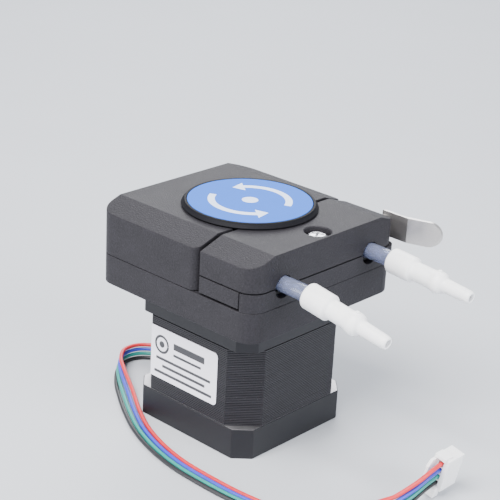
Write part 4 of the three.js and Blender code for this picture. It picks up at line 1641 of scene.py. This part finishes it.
@dataclass
class Rotor:
    """The disc on the shaft and the roller cage under it."""

    finishes: Finishes
    top: float = 63.0
    rim: float = 17.6
    foot: float = 18.3
    underside: float = 61.6
    face: float = 16.7
    recess: float = 0.25
    arrow: tuple[float, float] = (9.4, 11.3)
    arrow_start: float = 25.0
    arrow_sweep: float = 118.0
    ink: float = 0.025
    orbit: float = 9.9
    first_roller: float = 0.5
    roller: float = 4.5
    roller_bore: float = 1.55
    roller_edge: float = 0.4
    roller_span: tuple[float, float] = (49.3, 56.2)

    def build_disc(self) -> None:
        """Makes the black disc and its blue face."""
        floor = self.top - self.recess - 0.15
        profile = [
            (0, 60.8), (2.8, 60.8), (2.8, 58.6), (12.9, 58.6), (12.9, self.underside),
            (self.foot - 0.2, self.underside), (self.foot - 0.05, self.underside + 0.07),
            (self.foot, self.underside + 0.25), (self.foot - 0.2, self.underside + 0.55),
            (self.rim + 0.1, self.top - 0.5), (self.rim, self.top - 0.25), (self.rim - 0.1, self.top - 0.07),
            (self.rim - 0.25, self.top), (self.face + 0.2, self.top), (self.face + 0.15, self.top - 0.04),
            (self.face + 0.15, floor), (0, floor),
        ]
        cap = Blank.turned(profile, 128)
        cap.release("disc", Body.ROTOR, Slot.DISC_BLACK, self.finishes, ["disc_cap"])
        low, high = self.top - self.recess, self.top - 0.02
        rim = [(self.face, low), (self.face, high - 0.04), (self.face - 0.05, high)]
        face = Blank.turned([(0, low), *rim, (0, high)], 128)
        face.release("disc_plate", Body.ROTOR, Slot.DISC_BLUE, self.finishes, ["disc_face"])

    def build_arrows(self) -> None:
        """Makes the printed turning arrows, which only show which way the disc turns."""
        low = self.top - 0.03
        high = low + self.ink
        for index in range(2):
            start = self.arrow_start + 180 * index
            end = start + self.arrow_sweep
            outer = arc_points(self.arrow[1], start, end, 48)
            tip = [Vector((r * math.cos(a), r * math.sin(a))) for r, a in (
                (13.3, math.radians(end)),
                (10.35, math.radians(end + 18)),
                (7.4, math.radians(end)),
            )]
            inner = arc_points(self.arrow[0], end, start, 48)
            arrow = Blank.raised(outer + tip + inner, low, high)
            arrow.release(
                f"turn_arrow_{index + 1}",
                Body.ROTOR,
                Slot.DISC_BLUE,
                self.finishes,
                finish=Extra.WHITE_INK,
            )
        spot = Blank.turned([(0, low), (2.2, low), (2.2, high), (0, high)], 64)
        spot.release("turn_spot", Body.ROTOR, Slot.DISC_BLUE, self.finishes, finish=Extra.WHITE_INK)

    def build_rollers(self) -> None:
        """Makes the three rollers with rounded ends."""
        bore, radius, edge = self.roller_bore, self.roller, self.roller_edge
        low, high = self.roller_span
        profile = [
            (bore, low), (radius - edge, low), (radius, low + edge), (radius, high - edge),
            (radius - edge, high), (bore, high),
        ]
        for index, body in enumerate((Body.ROLLER_A, Body.ROLLER_B, Body.ROLLER_C)):
            angle = index * math.tau / 3 + self.first_roller
            place = Matrix.Translation((self.orbit * math.cos(angle), self.orbit * math.sin(angle), 0))
            roller = Blank.turned(profile, 72).moved(place)
            node = f"roller_{index + 1}"
            roller.release(f"roller_ring_{index + 1}", body, Slot.ROLLER, self.finishes, [node])

    def build(self) -> None:
        """Makes what turns."""
        self.build_disc()
        self.build_arrows()
        self.build_rollers()


# ---------------------------------------------------------------- lever


@dataclass
class Lever:
    """The bent strip that opens the head, with its hub and pin."""

    finishes: Finishes
    x: float = PIVOT.x
    y: float = PIVOT.y
    thick: float = 1.0
    z0: float = 52.3
    z1: float = 59.3
    end_x: float = 39.0
    clear_y: float = 30.0
    hub_span: tuple[float, float] = (53.5, 57.7)

    def _line(self) -> list[Vector]:
        """The middle line of the strip, seen from above.

        Returns:
            Its points, from the hub to the tip.
        """
        x = self.x
        line = [Vector((x, self.y + 2.5))]
        line += self._bend((x, 29.1), (x, 30.4), (x + 1.4, 30.35))
        line += self._bend((26.4, 30.05), (28.4, 30), (30.2, 30.6))
        line += [Vector((34.7, 32.1)), Vector((39.3, 33.6))]
        return line

    @staticmethod
    def _bend(start: Point, middle: Point, end: Point, steps: int = 10) -> list[Vector]:
        """Points of a smooth bend between two places, drawn towards a third.

        Args:
            start: Where the bend starts.
            middle: The place that it is drawn towards.
            end: Where the bend ends.
            steps: The number of stretches.

        Returns:
            Its points.
        """
        a, b, c = Vector(start), Vector(middle), Vector(end)
        shares = (index / steps for index in range(steps + 1))
        return [a * (1 - s) ** 2 + b * (2 * s * (1 - s)) + c * s**2 for s in shares]

    def build(self) -> None:
        """Makes the strip and the hub that it is fixed to."""
        line = self._line()
        strip = Blank.raised(band(line, self.thick / 2), self.z0 - 1, self.z1 + 1)
        radius = (self.z1 - self.z0) / 2
        window = rectangle(self.x - 0.5, self.end_x, self.z0, self.z1, (0.6, radius, radius, 0.6))
        gate = Blank.raised(window, 0, 20).moved(towards_front(self.clear_y + 20))
        strip.keep(gate)
        strip.join(Blank.raised(band(line[:10], self.thick / 2), *self.hub_span))
        strip.soften(0.16, 3, 50)
        strip.release("lever_strip", Body.LEVER, Slot.STAINLESS, self.finishes, ["release_lever"], sharp=30)
        hub = Blank.post(2.2, *self.hub_span, self.x, self.y)
        web = band([Vector((self.x - CRANK - 1, self.y)), Vector((self.x + 1, self.y))], 1.1)
        hub.join(Blank.raised(web, 52.4, 53.7), Blank.post(1, 48.6, 53, self.x - CRANK, self.y))
        hub.cut(Blank.post(1.3, 50, 60, self.x, self.y))
        hub.release("hub", Body.LEVER, Slot.SCREW, self.finishes, ["lever_hub"])


# ---------------------------------------------------------------- tube and hose fittings


@dataclass
class Tubing:
    """The clear pump tube, its collars and the two hose fittings."""

    finishes: Finishes
    outer: float = 2.2
    inner: float = 1.2
    loop: float = TUBE_Y
    z: float = TUBE_Z
    face_x: float = HEAD_HALF
    bend_x: float = 14.1
    grip: float = 3.8
    ends: dict[str, tuple[int, float, float, float]] = field(
        default_factory=lambda: {"front": (-1, 36.3, 52.7, 9.0), "rear": (1, 35.5, 52.6, 5.0)}
    )

    def _free_end(self, word: str, steps: int = 16) -> list[Vector]:
        """The line of a tube end from the head into its fitting.

        Args:
            word: Which end, front or rear.
            steps: The number of stretches.

        Returns:
            Its points, going away from the head.
        """
        side, socket_x, height, tilt = self.ends[word]
        slope = math.tan(math.radians(tilt))
        reach = socket_x - self.face_x
        line = []
        for index in range(1, steps + 1):
            along = (reach + self.grip) * index / steps
            share = min(along / reach, 1)
            drop = (self.z - height) * share * share + slope * max(along - reach, 0)
            line.append(Vector((self.face_x + along, side * self.loop, self.z - drop)))
        return line

    def build_tube(self) -> None:
        """Makes the tube: in at the front, half round the rollers, and out at the rear."""
        line = self._free_end("front")[::-1]
        line += [Vector((x, -self.loop, self.z)) for x in (self.face_x, self.bend_x)]
        around = arc_points(self.loop, 270, 90, 60)
        line += [Vector((p.x, p.y, self.z)) for p in around]
        line += [Vector((x, self.loop, self.z)) for x in (self.bend_x, self.face_x)]
        line += self._free_end("rear")
        tube = Blank.swept(line, self.outer, self.inner, 32)
        tube.release("tube", Body.PUMP, Slot.TUBE, self.finishes, ["pump_tube"])

    @staticmethod
    def _fitting_profile() -> list[Point]:
        """Half of a fitting's section as (radius, height), from the socket's mouth to the nose.

        Returns:
            The closed outline.
        """
        socket = [
            (2.75, 0), (3.0, 0), (3.12, 0.08), (3.32, 0.35), (3.4, 0.6), (3.4, 7.0), (3.34, 7.25),
            (3.1, 7.5), (2.75, 7.7),
        ]
        neck = [(2.62, 7.9), (2.58, 8.4), (2.58, 12.9)]
        bead = [
            (2.66, 13.5), (2.86, 14.2), (3.02, 14.8), (3.05, 15.3), (2.98, 15.9), (2.8, 16.5),
            (2.45, 16.95), (2.1, 17.15),
        ]
        nose = [
            (1.96, 17.4), (1.93, 18), (1.74, 24.4), (1.68, 25.0), (1.54, 25.4), (1.34, 25.6),
            (1.1, 25.6), (1.0, 25.5),
        ]
        bore = [(1.0, 4.6), (2.55, 4.6), (2.55, 0.2)]
        return socket + neck + bead + nose + bore

    def build_fittings(self) -> None:
        """Makes the two fittings and the two collars."""
        profile = self._fitting_profile()
        gate_mark = Matrix.Translation((0, 0, 15.2)) @ Matrix.Rotation(-math.pi / 2, 4, "Y")
        for word, (side, socket_x, height, tilt) in self.ends.items():
            place = Matrix.Translation((socket_x, side * self.loop, height))
            turn = Matrix.Rotation(math.pi / 2 + math.radians(tilt), 4, "Y")
            fitting = Blank.turned(profile, 80)
            fitting.join(Blank.raised(circle(0.5, sides=24), 2.2, 3.35).moved(gate_mark))
            fitting.moved(place @ turn)
            node = f"hose_fitting_{word}"
            fitting.release(f"fitting_{word}", Body.PUMP, Slot.FITTING, self.finishes, [node])
            collar = Blank.turned([(2.5, 24.9), (3.2, 24.9), (3.2, 26.7), (2.5, 26.7)], 64)
            seat = Matrix.Translation((0, side * self.loop, self.z))
            collar.moved(seat @ Matrix.Rotation(math.pi / 2, 4, "Y"))
            node = f"tube_collar_{word}"
            collar.release(f"collar_{word}", Body.PUMP, Slot.BLACK, self.finishes, [node])

    def build(self) -> None:
        """Makes the tube and what it ends in."""
        self.build_tube()
        self.build_fittings()


# ---------------------------------------------------------------- assembly


def main() -> None:
    """Builds the looks in order and notes the sizes."""
    logging.basicConfig(level=logging.INFO, format="%(message)s")
    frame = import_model()
    finishes = Finishes()
    studio = Studio()
    studio.place_camera()
    Lead(finishes).build()
    finishes.dress_cad(frame)
    Motor(finishes).build()
    Head(finishes).build()
    Rotor(finishes).build()
    Lever(finishes).build()
    Tubing(finishes).build()
    studio.lay_floor()
    studio.light()


if __name__ == "__main__":
    main()
